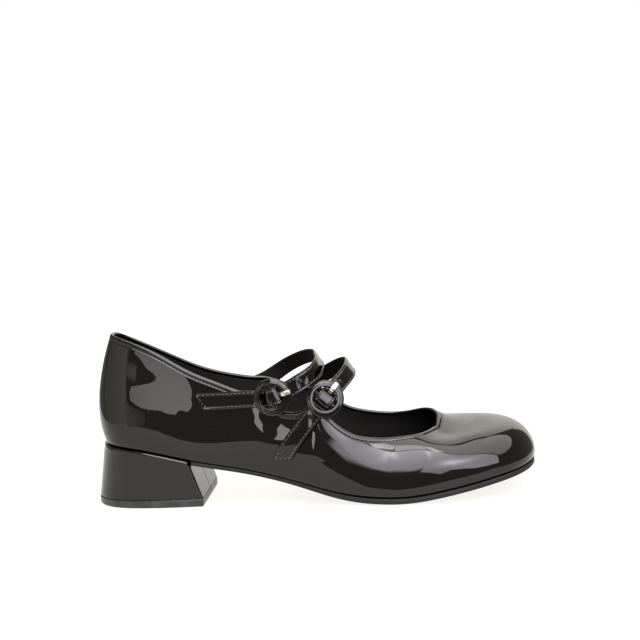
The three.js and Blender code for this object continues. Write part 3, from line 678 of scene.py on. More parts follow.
def make_top_lift(name):
    """The hard layer that the heel stands on."""
    outline, _, _ = heel_outline(HEEL_REVEAL + LIFT_REVEAL)
    outline.softened(1.0)
    outline.ring = flared(outline.ring, 1)
    outline.spine = flared(outline.spine, 1)
    rows = ((0.5, 0), (0.25, 0.03), (0.08, 0.08), (0, 0.16), (0, 0.5), (0, 0.86), (0.06, 0.95), (0.2, 1.0))
    return plate(name, outline, rows, lambda x, y: np.full_like(x, LIFT_THICKNESS),
                 lambda x, y: np.zeros_like(x), 6)


# ---- straps --------------------------------------------------------------------------------
ROW_SAMPLES = 40  # points measured between two rows of a strap


class Course:
    """A strap's middle line by distance from the bar of its buckle, with the way its face looks."""

    def __init__(self, strap):
        def held(side, rows):
            for x, z, lift in rows:
                point, normal = on_quarter(x, z, side)
                yield np.concatenate([point + normal * lift, normal])

        arch = [(x, y, z, ahead, -math.cos(math.radians(tilt)), math.sin(math.radians(tilt)))
                for x, y, z, tilt, ahead in strap["arch"]]
        rows = list(held(-1, strap["tail"])) + arch + list(held(1, strap["root"]))
        self.rows = through_rows(rows, False)
        self.t = np.linspace(0, len(rows) - 1, (len(rows) - 1) * ROW_SAMPLES + 1)
        line = spline(self.rows, self.t, False)[:, :3]
        self.d = np.concatenate([[0], np.cumsum(np.linalg.norm(np.diff(line, axis=0), axis=1))])
        self.d -= self.d[(len(strap["tail"]) + strap["bar_at"]) * ROW_SAMPLES]
        self.start, self.end = self.d[0], self.d[-1]

    def frames(self, distance):
        """Middle, running, facing and crosswise directions at distances along."""
        t = np.interp(distance, self.d, self.t)
        row = spline(self.rows, t, False)
        step = 1e-2
        last = len(self.rows) - 1
        run = unit(spline(self.rows, np.minimum(t + step, last), False)[..., :3]
                   - spline(self.rows, np.maximum(t - step, 0), False)[..., :3])
        face = row[..., 3:6]
        face = unit(face - (face * run).sum(-1, keepdims=True) * run)
        return row[..., :3], run, face, np.cross(run, face)

    def bulged(self, distance):
        """The same frames of the strap itself, which rises over the bar."""
        p, run, face, _ = self.frames(distance)
        share = np.clip((np.abs(distance) - BULGE_FLAT) / (BULGE_REACH - BULGE_FLAT), 0, 1)
        p = p + face * (BULGE * (0.5 + 0.5 * np.cos(math.pi * share)))[:, None]
        run = unit(np.gradient(p, axis=0))
        face = unit(face - (face * run).sum(-1, keepdims=True) * run)
        return p, run, face, np.cross(run, face)

    def slant(self, distance, side):
        """How far a place at one side (-1 to 1) lies ahead of the middle, near the tail's slanted end."""
        return side * TAIL_SLANT / 2 * (1 - smooth(distance, self.start, self.start + TAIL_SLANT_REACH))


def half_profile(top, bottom, grooved):
    """Half of a strip's section, from the middle of its face round the edge to the middle of its back.

    Each row is share of the half width, inset from the edge, height over the strap's middle, mm.
    """
    rows = [(0.0, 0, top + 0.05), (0.35, 0, top + 0.04), (0.6, 0, top + 0.02)]
    if grooved:
        e = STRAP_EDGE
        rows += [(1, e + 0.75, top), (1, e + 0.37, top - 0.03), (1, e + 0.17, top - 0.15), (1, e, top - 0.2),
                 (1, e - 0.17, top - 0.15), (1, e - 0.4, top - 0.01), (1, 0.55, top)]
    else:
        rows += [(1, 1.2, top), (1, 0.5, top)]
    rows += [(1, 0.28, top - 0.07), (1, 0.1, top - 0.22), (1, 0.02, top - 0.42),
             (1, 0.0, (top + bottom) / 2), (1, 0.03, bottom + 0.3), (1, 0.12, bottom + 0.12),
             (1, 0.35, bottom)]
    return rows + [(0.6, 0, bottom), (0.3, 0, bottom), (0.0, 0, bottom)]


def strip(name, course, half, narrower=0.0, shorter=0.0, step=0.7):
    """A closed strip along a strap's course, with soft ends."""
    start, end = course.start + shorter, course.end - shorter
    middle = np.linspace(start + 0.5, end - 0.5, int((end - start) / step))
    d = np.concatenate([[start, start + 0.02, start + 0.14, start + 0.3], middle,
                        [end - 0.3, end - 0.14, end - 0.02, end]])
    shrink = np.zeros(len(d))
    shrink[:4] = 0.5, 0.3, 0.12, 0.03
    shrink[-4:] = shrink[3::-1]
    p, run, face, across = course.bulged(d)
    width = STRAP_WIDTH / 2 - narrower
    level = (half[0][2] + half[-1][2]) / 2
    ring = [(share, inset, height, 1) for share, inset, height in half]
    ring += [(share, inset, height, -1) for share, inset, height in half[-2:0:-1]]
    columns = []
    for share, inset, height, side in ring:
        x = side * np.maximum(width * share - inset * (share > 0) - shrink * share, 0)
        z = height - shrink * np.sign(height - level) * min(1, abs(height - level) * 2)
        ahead = course.slant(d, 2 * x / STRAP_WIDTH)
        columns.append(p + across * x[:, None] + face * z[:, None] + run * ahead[:, None])
    return lay_grid(name, np.array(columns).transpose(1, 0, 2))


def punch(piece, course, holes):
    """Cuts round holes through a strip, square to its face."""
    for distance, radius in holes:
        p, run, face, across = (v[0] for v in course.bulged(np.array([distance, distance + 0.5])))
        bpy.ops.object.select_all(action="DESELECT")
        bpy.ops.mesh.primitive_cylinder_add(vertices=32, radius=radius * MM, depth=CUTTER_LENGTH * MM)
        cutter = bpy.context.object
        turn = Matrix([list(run), list(across), list(face)]).transposed().to_4x4()
        cutter.data.transform(Matrix.Translation(Vector((p + LAST_TO_FRAME) * MM)) @ turn)
        cut = piece.modifiers.new("hole", "BOOLEAN")
        cut.operation, cut.object, cut.solver = "DIFFERENCE", cutter, "EXACT"
        bpy.context.view_layer.objects.active = piece
        bpy.ops.object.modifier_apply(modifier=cut.name)
        bpy.data.objects.remove(cutter)
    select_only(piece)
    bpy.ops.object.shade_smooth_by_angle(angle=SHARP)


# ---- stitching -----------------------------------------------------------------------------
STITCH_TAPER = 0.25  # stitches narrow towards their ends


def stitch_rows(name, places, sizes):
    """Stitches as one mesh: places holds (middle, along, up) for each."""
    radius, half_length = sizes.thread_radius, sizes.stitch_length / 2
    bpy.ops.object.select_all(action="DESELECT")
    bpy.ops.mesh.primitive_uv_sphere_add(segments=8, ring_count=6, radius=1)
    pattern = bpy.context.object
    edit_whole((bpy.ops.transform.resize, {"value": (radius, radius, half_length)}))
    base = np.array([v.co for v in pattern.data.vertices])
    base[:, :2] *= (1 - STITCH_TAPER * np.abs(base[:, 2:3]) / half_length) ** 0.5
    faces = [list(f.vertices) for f in pattern.data.polygons]
    bpy.data.objects.remove(pattern)
    points, polygons = [], []
    for middle, along, up in places:
        side = np.cross(along, up)
        turned = base @ np.array([side, np.cross(along, side), along])
        polygons += [[i + len(points) * len(base) for i in f] for f in faces]
        points.append(turned + (middle + LAST_TO_FRAME) * MM)
    mesh = bpy.data.meshes.new(name)
    mesh.from_pydata(np.vstack(points).tolist(), [], polygons)
    piece = bpy.data.objects.new(name, mesh)
    bpy.context.collection.objects.link(piece)
    select_only(piece)
    edit_whole((bpy.ops.mesh.normals_make_consistent, {"inside": False}))
    bpy.ops.object.shade_smooth()
    return piece


def topline_stitches(pitch):
    """Places all the way round, one pitch apart."""
    t = np.linspace(0, AROUND, 1600)
    ruler = WallRuler(t)
    p, n = ruler.face(ruler.height - WALL / 2 - EDGE_STITCH, STITCH_SINK)
    run = np.concatenate([[0], np.cumsum(np.linalg.norm(np.diff(p, axis=0), axis=1))])
    count = round(run[-1] / pitch)
    at = (np.arange(count) + 0.5) / count * run[-1]
    ahead = at + 0.3

    def along(values, d):
        return np.stack([np.interp(d, run, values[:, k]) for k in range(3)], -1)

    middle = along(p, at)
    return zip(middle, unit(along(p, ahead) - middle), unit(along(n, at)))


def strap_stitches(course, pitch, top):
    """Both long edges, and across the tail's end."""
    sunk = top - 0.1
    d = np.arange(course.start + 1.6, course.end - 1.6, pitch)
    p, run, face, across = course.bulged(d)
    half = STRAP_WIDTH / 2 - STRAP_EDGE
    places = []
    for side in (-1, 1):
        line = p + across * side * half + face * sunk + run * course.slant(d, side)[:, None]
        places += [(m, r, f) for m, r, f in zip(line, run, face)]
    at = np.array([course.start + 1.3, course.start + 1.8])
    p, run, face, across = (v[0] for v in course.bulged(at))
    for u in np.linspace(-1, 1, 4):
        ahead = course.slant(at[0], u)
        middle = p + across * u * (half - 0.8) + face * sunk + run * ahead
        places.append((middle, unit(across * 2 + run), face))
    return places


# ---- buckles -------------------------------------------------------------------------------


def rim_profile():
    """Section of the covered rim: (radius, height): a flat inner tier raised over a sloping outer one."""
    inner, outer = RING_RADIUS - RIM_WIDTH / 2, RING_RADIUS + RIM_WIDTH / 2
    low, high = RING_HEIGHT - RIM_THICKNESS / 2, RING_HEIGHT + RIM_THICKNESS / 2
    return ((inner + 0.25, low), (inner + 0.07, low + 0.1), (inner, low + 0.35), (inner, high - 0.45),
            (inner + 0.06, high - 0.18), (inner + 0.22, high - 0.03), (inner + 0.42, high),
            (inner + 1.15, high), (inner + 1.4, high - 0.04), (inner + 1.52, high - 0.16),
            (inner + 1.58, high - 0.36), (inner + 1.72, high - 0.46), (inner + 2.0, high - 0.5),
            (inner + 2.6, high - 0.62), (inner + 3.1, high - 0.82), (inner + 3.45, high - 1.12),
            (outer - 0.05, high - 1.5), (outer, low + 0.75), (outer - 0.08, low + 0.35),
            (outer - 0.3, low + 0.08), (outer - 0.55, low), ((inner + outer) / 2, low))


class BuckleFrame:
    """Places on a buckle by distances along the strap, across it and off its face."""

    def __init__(self, course):
        self.p, self.run, self.face, self.across = (v[0] for v in course.frames(np.array([0.0, 1.0])))

    def at(self, along, across, height):
        return (self.p + np.multiply.outer(along, self.run) + np.multiply.outer(across, self.across)
                + np.multiply.outer(height, self.face))


def make_buckle(name, course):
    """The covered rim and the bar across it, as one piece."""
    f = BuckleFrame(course)
    turn = turns(112)
    rows = [f.at(r * np.cos(turn), r * np.sin(turn), np.full(len(turn), h)) for r, h in rim_profile()]
    ring = lay_grid(name, np.array(rows), rows_closed=True)
    across = np.array([-1, -1, 1, 1]) * BAR_REACH
    spin = turns(16)
    bar = [f.at(r * np.cos(spin), np.full(len(spin), a), BAR_HEIGHT + r * np.sin(spin))
           for a, r in zip(across, (0.01, BAR_RADIUS, BAR_RADIUS, 0.01))]
    return joined(name, [ring, lay_grid(name + "_bar", np.array(bar))])


def make_prong(name, course):
    """A flat bent strip with rounded corners that narrows at its ends."""
    f = BuckleFrame(course)
    line = through_rows([(a, h) for a, h in PRONG_LINE], False)
    t = np.linspace(0, len(PRONG_LINE) - 1, 90)
    middle = spline(line, t, False)
    run = unit(np.gradient(middle, axis=0))
    up = np.stack([-run[:, 1], run[:, 0]], -1)
    w, h, r = PRONG_WIDTH / 2, PRONG_THICKNESS / 2, PRONG_CORNER
    arc = np.linspace(0, math.pi / 2, 5)
    corner = [(w - r + r * math.cos(a), h - r + r * math.sin(a)) for a in arc]
    half = corner + [(-x, z) for x, z in corner[::-1]]
    ring = half + [(-x, -z) for x, z in half]
    ends = np.ones(len(t))
    ends[:3] = ends[-3:][::-1] = 0.55, 0.86, 0.97
    columns = []
    for x, z in ring:
        q = middle + up * (z * ends)[:, None]
        columns.append(f.at(q[:, 0], x * ends, q[:, 1]))
    return lay_grid(name, np.array(columns).transpose(1, 0, 2))


# ---- shader bench --------------------------------------------------------------------------


class Wire:
    """A shader value. Arithmetic on it adds Math nodes."""

    def __init__(self, bench, socket):
        self.bench, self.socket = bench, socket

    def __add__(self, other):
        return self.bench.math("ADD", self, other)

    def __radd__(self, other):
        return self.bench.math("ADD", other, self)

    def __sub__(self, other):
        return self.bench.math("SUBTRACT", self, other)

    def __rsub__(self, other):
        return self.bench.math("SUBTRACT", other, self)

    def __mul__(self, other):
        return self.bench.math("MULTIPLY", self, other)

    def __rmul__(self, other):
        return self.bench.math("MULTIPLY", other, self)

    def __truediv__(self, other):
        return self.bench.math("DIVIDE", self, other)

    def __rtruediv__(self, other):
        return self.bench.math("DIVIDE", other, self)


class Bench:
    """A material or world being built: every node comes from its node method."""

    def __init__(self, owner, **constants):
        if isinstance(owner, str):
            owner = bpy.data.materials.new(owner)
            owner.use_nodes = True
        self.material = owner
        self.tree = owner.node_tree
        self.shader = next(n for n in self.tree.nodes if n.type in ("BSDF_PRINCIPLED", "BACKGROUND"))
        coordinates = self.tree.nodes.new("ShaderNodeTexCoord").outputs
        self.place = Wire(self, coordinates["Object"])
        self.way = Wire(self, coordinates["Generated"])  # where a world's ray is going
        self.set(**constants)

    def set(self, **values):
        """Feeds the shader's own sockets, named with underscores for spaces."""
        for key, value in values.items():
            self.feed(self.shader.inputs[key.replace("_", " ")], value)

    def feed(self, socket, value):
        """Links a wire to a socket, or sets the socket's value."""
        if isinstance(value, Wire):
            self.tree.links.new(value.socket, socket)
        else:
            socket.default_value = value

    def node(self, kind, settings=None, values=None, output=0):
        """Adds a node of a kind with its settings and with values or wires for its sockets."""
        made = self.tree.nodes.new(kind)
        for key, value in (settings or {}).items():
            setattr(made, key, value)
        for key, value in (values or {}).items():
            self.feed(made.inputs[key], value)
        return Wire(self, made.outputs[output])

    def math(self, operation, *values, clamped=False):
        """A Math node on values and wires."""
        return self.node("ShaderNodeMath", {"operation": operation, "use_clamp": clamped},
                         dict(enumerate(values)))

    def axis(self, vector, name):
        return self.node("ShaderNodeSeparateXYZ", None, {"Vector": vector}, name)

    def noise(self, scale, detail=2.0, roughness=0.5):
        """Noise that is fixed to the piece."""
        values = {"Vector": self.place, "Scale": scale, "Detail": detail, "Roughness": roughness}
        return self.node("ShaderNodeTexNoise", None, values, "Fac")

    def between(self, wire, low, high):
        """0 to 1 while a value runs from low to high."""
        values = {"Value": wire, "From Min": low, "From Max": high}
        return self.node("ShaderNodeMapRange", None, values, "Result")

    def mix(self, share, a, b):
        return self.node("ShaderNodeMix", {"data_type": "RGBA"}, {"Factor": share, 6: a, 7: b}, 2)

    def bump(self, height, distance, under=None):
        values = {"Height": height, "Distance": distance, "Strength": 1.0}
        if under is not None:
            values["Normal"] = under
        return self.node("ShaderNodeBump", None, values, "Normal")


def grey(value):
    return (value, value, value, 1.0)


# Noise scales on the patent leather, and depths of the relief on each finish, m.
DUST_SCALE, HANDLING_SCALE, WAVE_SCALE, PORE_SCALE = 900, 38, 70, 420
WAVE_DEPTH = 4e-5
PORE_DEPTH = 1.6e-6
MARK_DEPTH = 6e-6
PLY_DEPTH = 4e-5


def patent_leather(name, colour, wave):
    """Mirror-bright black coating over leather: slow waves, faint pores and a little dust."""
    b = Bench(name, Coat_Roughness=0.015, Coat_IOR=1.5, IOR=1.5, Specular_IOR_Level=0.0)
    dust = b.between(b.noise(DUST_SCALE, 3, 0.6), 0.66, 0.8)
    handled = b.between(b.noise(HANDLING_SCALE, 2), 0.45, 0.75)
    b.set(Base_Color=b.mix(dust * 0.06, tuple(colour), grey(0.35)),
          Roughness=0.045 + handled * 0.025 + dust * 0.1, Coat_Weight=1.0 - dust * 0.2)
    waves = b.bump(b.noise(WAVE_SCALE, 1, 0.4), WAVE_DEPTH * wave)
    b.set(Normal=b.bump(b.noise(PORE_SCALE, 2, 0.5), PORE_DEPTH * wave, waves))
    return b.material


def grained(name, colour, light, scale, depth, rough, sheen):
    """A matt leather or rubber with a fine pebbled face."""
    b = Bench(name, Specular_IOR_Level=sheen)
    cells = b.node("ShaderNodeTexVoronoi", {"feature": "F1"}, {"Vector": b.place, "Scale": scale},
                   "Distance")
    mottle = b.between(b.noise(scale / 20, 3), 0.35, 0.7)
    b.set(Base_Color=b.mix(mottle, tuple(colour), tuple(light)), Roughness=rough + mottle * 0.12,
          Normal=b.bump(cells * 0.8 + b.noise(scale * 0.5, 3) * 0.5, depth))
    return b.material


def bright_metal(name, colour):
    """Plated metal, finely marked and a little worn."""
    b = Bench(name, Metallic=1.0)
    wear = b.between(b.noise(1400, 3, 0.6), 0.5, 0.75)
    b.set(Base_Color=b.mix(wear, tuple(colour), grey(0.55)), Roughness=0.2 + wear * 0.12,
          Normal=b.bump(b.noise(2200, 2), MARK_DEPTH))
    return b.material


def thread(name, colour, painted_highlight_gain):
    """Twisted thread with paler plies here and there; the gain raises its whole colour, and above 1 it is a
    painted highlight.
    """
    b = Bench(name)
    ply = b.noise(5200, 2)
    b.set(Base_Color=b.mix(ply, tuple(painted_highlight_gain * c for c in colour[:3]) + (1.0,), grey(0.035 * painted_highlight_gain)),
          Roughness=0.3 + ply * 0.15, Normal=b.bump(ply, PLY_DEPTH))
    return b.material


# ---- sizes and colours a user would change -------------------------------------------------


def length_property(name, description, default):
    return bpy.props.FloatProperty(name=name, description=description, default=default, unit="LENGTH")


class ShoeSizes(bpy.types.PropertyGroup):
    stitch_pitch: length_property("Stitch pitch", "From one stitch to the next", 0.0024)
    stitch_length: length_property("Stitch length", "Length of one stitch that shows", 0.0019)
    thread_radius: length_property("Thread radius", "Half the thread's thickness", 0.00024)
    floor_size: length_property("Floor", "Side of the studio floor", 9.0)


def colour_property(name, description, default):
    return bpy.props.FloatVectorProperty(name=name, description=description, subtype="COLOR", size=4,
                                         min=0, max=1, default=default)


class ShoeColours(bpy.types.PropertyGroup):
    patent: colour_property("Patent", "Coating of upper, straps and heel", (0.0016, 0.0013, 0.0009, 1))
    lining: colour_property("Lining", "Inside of the upper, backs of the straps", (0.008, 0.0072, 0.006, 1))
    rubber: colour_property("Rubber", "Outsole and top lift", (0.0115, 0.0105, 0.0095, 1))
    thread: colour_property("Thread", "Stitching", (0.010, 0.010, 0.009, 1))
    metal: colour_property("Metal", "Prongs of the buckles", (0.83, 0.77, 0.66, 1))
    floor: colour_property("Floor", "Studio floor", (0.09, 0.09, 0.09, 1))


# Each finish: its maker, the colour it takes and the rest of what the maker asks for.
FINISHES = {
    "patent": (patent_leather, "patent", 1.0),
    "strap_patent": (patent_leather, "patent", 0.6),
    "covered": (patent_leather, "patent", 0.5),
    "lining": (grained, "lining", (0.007, 0.0065, 0.006, 1), 1300, 8e-5, 0.7, 0.12),
    "rubber": (grained, "rubber", (0.009, 0.0085, 0.008, 1), 2600, 4e-5, 0.5, 0.25),
    "lift_rubber": (grained, "rubber", grey(0.034), 3000, 2e-5, 0.3, 0.5),
    "metal": (bright_metal, "metal"),
    # strap stitching: the thread's colour raised 3.4 times, a painted highlight; the topline stitching below
    # keeps the thread's own colour
    "thread": (thread, "thread", 3.4),
    "sunk_thread": (thread, "thread", 1.0),
}


def material(kind):
    """Each finish is made once and shared."""
    name = "shoe_" + kind
    maker, colour, *rest = FINISHES[kind]
    return bpy.data.materials.get(name) or maker(name, getattr(bpy.context.scene.shoe_colours, colour), *rest)


# ---- operators -----------------------------------------------------------------------------


class ShoeOperator(bpy.types.Operator):
    """What the shoe's operators share"""
    bl_options = {"REGISTER", "UNDO"}


class SHOE_OT_upper(ShoeOperator):
    """Patent upper with its folded topline, and the lining inside it"""
    bl_idname = "shoe.upper"
    bl_label = "Upper and lining"

    def execute(self, context):
        finished(make_upper("upper_patent"), material("patent"), ("upper",))
        finished(make_lining("upper_lining"), material("lining"))
        return {"FINISHED"}


class SHOE_OT_sole(ShoeOperator):
    """Outsole and the sock that lies inside the shoe"""
    bl_idname = "shoe.sole"
    bl_label = "Outsole and sock"

    def execute(self, context):
        finished(make_outsole("outsole_rubber"), material("rubber"), ("outsole",))
        finished(make_sock("insole_sock"), material("lining"), ("insole",))
        return {"FINISHED"}


class SHOE_OT_heel(ShoeOperator):
    """Covered heel block with its seam, and the top lift under it"""
    bl_idname = "shoe.heel"
    bl_label = "Heel"

    def execute(self, context):
        finished(make_heel("heel_cover"), material("patent"), ("heel_block",))
        finished(make_top_lift("heel_top_lift"), material("lift_rubber"), ("top_lift",))
        return {"FINISHED"}


class SHOE_OT_straps(ShoeOperator):
    """Both straps: patent face, backing, punched holes and stitching"""
    bl_idname = "shoe.straps"
    bl_label = "Straps"

    def execute(self, context):
        sizes = context.scene.shoe_sizes
        h = STRAP_THICKNESS / 2
        for name, strap in STRAPS.items():
            course = Course(strap)
            holes = [(PRONG_AT, PRONG_HOLE)] + [(d, STRAP_HOLE) for d in strap["holes"]]
            under = h - FACE_THICKNESS
            face = strip(f"strap_{name}_patent", course, half_profile(h, under, True))
            back = strip(f"strap_{name}_backing", course, half_profile(under - BACKING_GAP, -h, False),
                         BACKING_NARROWER, BACKING_SHORTER)
            for piece in (face, back):
                punch(piece, course, holes)
            finished(face, material("strap_patent"), (f"strap_{name}",))
            finished(back, material("lining"))
            places = strap_stitches(course, sizes.stitch_pitch / MM, h)
            finished(stitch_rows(f"strap_{name}_stitches", places, sizes), material("thread"))
        return {"FINISHED"}


class SHOE_OT_buckles(ShoeOperator):
    """Covered round buckles with their prongs"""
    bl_idname = "shoe.buckles"
    bl_label = "Buckles"

    def execute(self, context):
        for name, strap in STRAPS.items():
            course = Course(strap)
            rim, prong = make_buckle(f"buckle_{name}_rim", course), make_prong(f"buckle_{name}_prong", course)
            finished(rim, material("covered"), (f"buckle_{name}",))
            finished(prong, material("metal"), (f"prong_{name}",))
        return {"FINISHED"}


class SHOE_OT_topline_stitching(ShoeOperator):
    """Row of stitches under the fold of the topline"""
    bl_idname = "shoe.topline_stitching"
    bl_label = "Topline stitching"

    def execute(self, context):
        sizes = context.scene.shoe_sizes
        places = topline_stitches(sizes.stitch_pitch / MM)
        finished(stitch_rows("topline_stitches", places, sizes), material("sunk_thread"))
        return {"FINISHED"}


# ---- camera and studio ---------------------------------------------------------------------
CAMERA_AIM = np.array([2.62, 0.768, 45.0])  # mm, in the frame
CAMERA_DISTANCE = 864.18
CAMERA_AZIMUTH, CAMERA_ELEVATION, CAMERA_ROLL = (math.radians(a) for a in (4.69, 11.79, 3.57))
CAMERA_LENS, CAMERA_SENSOR = 85.0, 36.0
CAMERA_YAW, CAMERA_PITCH = -0.0060353, 0.0613687  # radians, which put the shoe low in the view


def add_camera():
    """A camera beside the shoe, turned a little off its aim and rolled."""
    az, el, roll = CAMERA_AZIMUTH, CAMERA_ELEVATION, CAMERA_ROLL
    back = np.array([math.sin(az) * math.cos(el), -math.cos(az) * math.cos(el), math.sin(el)])
    place = CAMERA_AIM + back * CAMERA_DISTANCE
    f = -back
    r = unit(np.cross(f, [0, 0, 1.0]))
    u = np.cross(r, f)
    r, f = (r * math.cos(CAMERA_YAW) + f * math.sin(CAMERA_YAW),
            f * math.cos(CAMERA_YAW) - r * math.sin(CAMERA_YAW))
    u, f = (u * math.cos(CAMERA_PITCH) - f * math.sin(CAMERA_PITCH),
            u * math.sin(CAMERA_PITCH) + f * math.cos(CAMERA_PITCH))
    r, u = r * math.cos(roll) - u * math.sin(roll), r * math.sin(roll) + u * math.cos(roll)
    bpy.ops.object.camera_add()
    camera = bpy.context.object
    camera.data.lens = CAMERA_LENS
    camera.data.sensor_width = CAMERA_SENSOR
    camera.matrix_world = Matrix.Translation(Vector(place * MM)) @ Matrix([r, u, -f]).transposed().to_4x4()
    bpy.context.scene.camera = camera


# The studio as it is seen from the shoe: each panel is a convex outline of (azimuth, elevation) in degrees,
# where azimuth 0 lies on the shoe's outer side and 90 ahead of the toe. Its brightness holds at the first
# point and changes by so much a degree of azimuth and of elevation. Then come the width of its soft border
# and its tint.
LAVENDER, CREAM, SAND = (0.99, 0.96, 1.05), (1.0, 0.985, 0.95), (1.01, 0.98, 0.92)
PANELS = (
    ("front_rim", ((-13, 10), (-2.5, 18.5), (-2.5, 20.7), (-13, 20.7)), 3.4, (0, 0.06), 2.5, LAVENDER),
    ("front_left", ((-11, 20.7), (-2.5, 20.7), (-2.5, 57), (-19, 57), (-16, 40)),
     4.6, (0, 0.1), 1.0, LAVENDER),
    ("front", ((-2.5, 13), (8, 5), (17, 11.5), (17, 57), (-2.5, 57)), 3.7, (0, 0.095), 1.0, LAVENDER),
    ("front_middle", ((17, 11.5), (26, 12), (26, 53.5), (17, 57)), 4.2, (0, 0.06), 1.0, LAVENDER),
    ("front_right", ((26, 12), (34, 8.5), (52, 6.5), (52, 24), (44, 34), (36, 44), (28, 52), (26, 53.5)),
     4.9, (-0.03, 0.004), 1.0, LAVENDER),
    ("front_above", ((0, 57), (17, 57), (26, 53.5), (28.5, 53.5), (28.5, 74), (0, 74)),
     8.5, (0, 0), 1.0, CREAM),
    ("front_top", ((-24, 58.5), (-1, 58.5), (-1, 74), (-24, 74)), 7.8, (0, 0), 1.2, CREAM),
    ("over", ((28.5, 74), (28.5, 53.5), (54.5, 24), (57, 23), (61, 23), (75, 26), (90, 30), (103, 36),
              (113, 40), (126, 50), (139, 66), (139, 74)), 3.8, (0, 0.028), 1.2, CREAM),
    ("cap", ((-200, 74), (200, 74), (200, 90), (-200, 90)), 3.6, (0, 0), 1.2, CREAM),
    ("over_back", ((150, 30), (200, 30), (200, 66), (150, 66)), 1.9, (-0.012, 0.012), 1.2, SAND),
    ("over_far", ((-200, 30), (-158, 30), (-158, 66), (-200, 66)), 1.5, (-0.008, 0.012), 1.2, SAND),
    ("backdrop", ((147, -8), (200, -8), (200, 30), (147, 30)), 0.9, (-0.012, 0.028), 1.2, SAND),
    ("backdrop_far", ((-200, -8), (-158, -8), (-158, 30), (-200, 30)), 0.6, (-0.008, 0.026), 1.2, SAND),
    ("left", ((-105, -16), (-58, -14), (-36, -8), (-36, 26), (-105, 32)), 0.15, (0.011, 0), 3.0, SAND),
    ("left_high", ((-36, 21.9), (-23.5, 22.2), (-23.5, 27), (-36, 27)), 0.85, (0, 0), 1.2, SAND),
)
GLOWS = (  # azimuth, elevation, half sizes and lean in degrees, and brightness
    (20, 27, 13, 5, 24, 6.5), (3, 52, 8, 9, 0, 1.8), (17, 61, 10, 6, 0, 3.5), (0.5, 47, 2.4, 12, 0, 4.0),
)
ROOM = (0.28, 0.25, 0.22)  # brightness of the dark room between the panels


def studio_light(name):
    """World light made of softboxes; the camera itself sees a plain white backdrop."""
    world = bpy.data.worlds.new(name)
    world.use_nodes = True
    b = Bench(world)
    x, y, z = (b.axis(b.way, name) for name in "XYZ")
    to_degrees = 180 / math.pi
    azimuth = b.math("ARCTAN2", x, 0 - y) * to_degrees
    elevation = b.math("ARCSINE", z) * to_degrees
    light = ROOM

    def lit(share, colour):
        """The light so far with a share of a colour added."""
        return b.node("ShaderNodeVectorMath", {"operation": "MULTIPLY_ADD"}, {0: share, 1: colour, 2: light})

    for _, outline, brightness, (by_azimuth, by_elevation), soft, tint in PANELS:
        first_a, first_e = outline[0]
        inside = (azimuth * by_azimuth + elevation * by_elevation
                  + (brightness - first_a * by_azimuth - first_e * by_elevation))
        for (a0, e0), (a1, e1) in zip(outline, outline[1:] + outline[:1]):
            span = math.hypot(a1 - a0, e1 - e0)
            na, ne = (e0 - e1) / span, (a1 - a0) / span
            beyond = elevation * (ne / soft) + (0.5 - (a0 * na + e0 * ne) / soft)
            inside = b.math("MULTIPLY_ADD", azimuth, na / soft, beyond, clamped=True) * inside
        light = lit(inside, tint)
    for at, up, wide, high, lean, gain in GLOWS:
        c, s = math.cos(math.radians(lean)), math.sin(math.radians(lean))
        u = (azimuth * c + elevation * s - (at * c + up * s)) / wide
        v = (elevation * c - azimuth * s - (up * c - at * s)) / high
        light = lit(b.math("EXPONENT", (u * u + v * v) * -1.0) * gain, LAVENDER)
    seen = b.node("ShaderNodeLightPath", None, None, "Is Camera Ray")
    b.feed(b.shader.inputs["Color"], b.mix(seen, light, grey(1.0)))
    return world


# Outline of the near floor, m: the polished leather mirrors only this part, as it would a small table.
NEAR_FLOOR = (
    (-0.36, -0.42), (-0.16, -0.38), (-0.09, -0.21), (-0.055, -0.16), (-0.02, -0.115), (0.022, -0.066),
    (0.045, -0.066), (0.1, -0.105), (0.16, -0.125), (0.21, -0.14), (0.21, 4.0), (-0.36, 4.0),
)
FLOOR_STEP = 2e-4  # the floor around it lies this much lower, m
FLOOR_GLOW = 0.88  # the floor's own light, which leaves only faint shadows
# Pale cards beside the shoe, seen only in the leather: y and outline of (x, z), m, and the light at the heel
# end and at the toe end.
CARDS = (
    ("card_heel", -0.5, ((-0.385, 0.25), (-0.37, 0.2), (-0.3, 0.172), (-0.238, 0.149), (-0.14, 0.139),
                         (-0.124, 0.124), (-0.105, 0.114), (-0.105, 0.256), (-0.23, 0.268),
                         (-0.352, 0.272)), 0.62, 0.95),
    ("card_side", -0.15, ((-0.205, 0.02), (-0.135, 0.038), (-0.128, 0.05), (-0.126, 0.071),
                          (-0.165, 0.083), (-0.205, 0.1)), 0.28, 0.15),
    ("card_waist", -0.15, ((-0.0625, 0.029), (-0.0635, 0.042), (-0.0595, 0.0555), (-0.0495, 0.053),
                           (-0.052, 0.047), (-0.0575, 0.039)), 1.45, 1.45),
)
CARD_GLOW = 3.3
CARD_TINTS = (1.0, 0.985, 0.95), (1.0, 0.985, 0.96)  # at the same two ends


def flat_shape(name, points, paint):
    """A flat piece of the studio, which takes no part in the shoe."""
    shape = bpy.data.meshes.new(name)
    shape.from_pydata(points, [], [range(len(points))])
    made = bpy.data.objects.new(name, shape)
    bpy.context.collection.objects.link(made)
    shape.materials.append(paint)
    return made


def card_paint(name, levels, ends):
    """Light that runs along a card from its level at one end to its level at the other."""
    b = Bench(name, Base_Color=grey(0.0), Specular_IOR_Level=0.0, Emission_Strength=CARD_GLOW)
    colours = [tuple(level * c for c in tint) + (1.0,) for level, tint in zip(levels, CARD_TINTS)]
    b.set(Emission_Color=b.mix(b.between(b.axis(b.place, "X"), *ends), *colours))
    return b.material


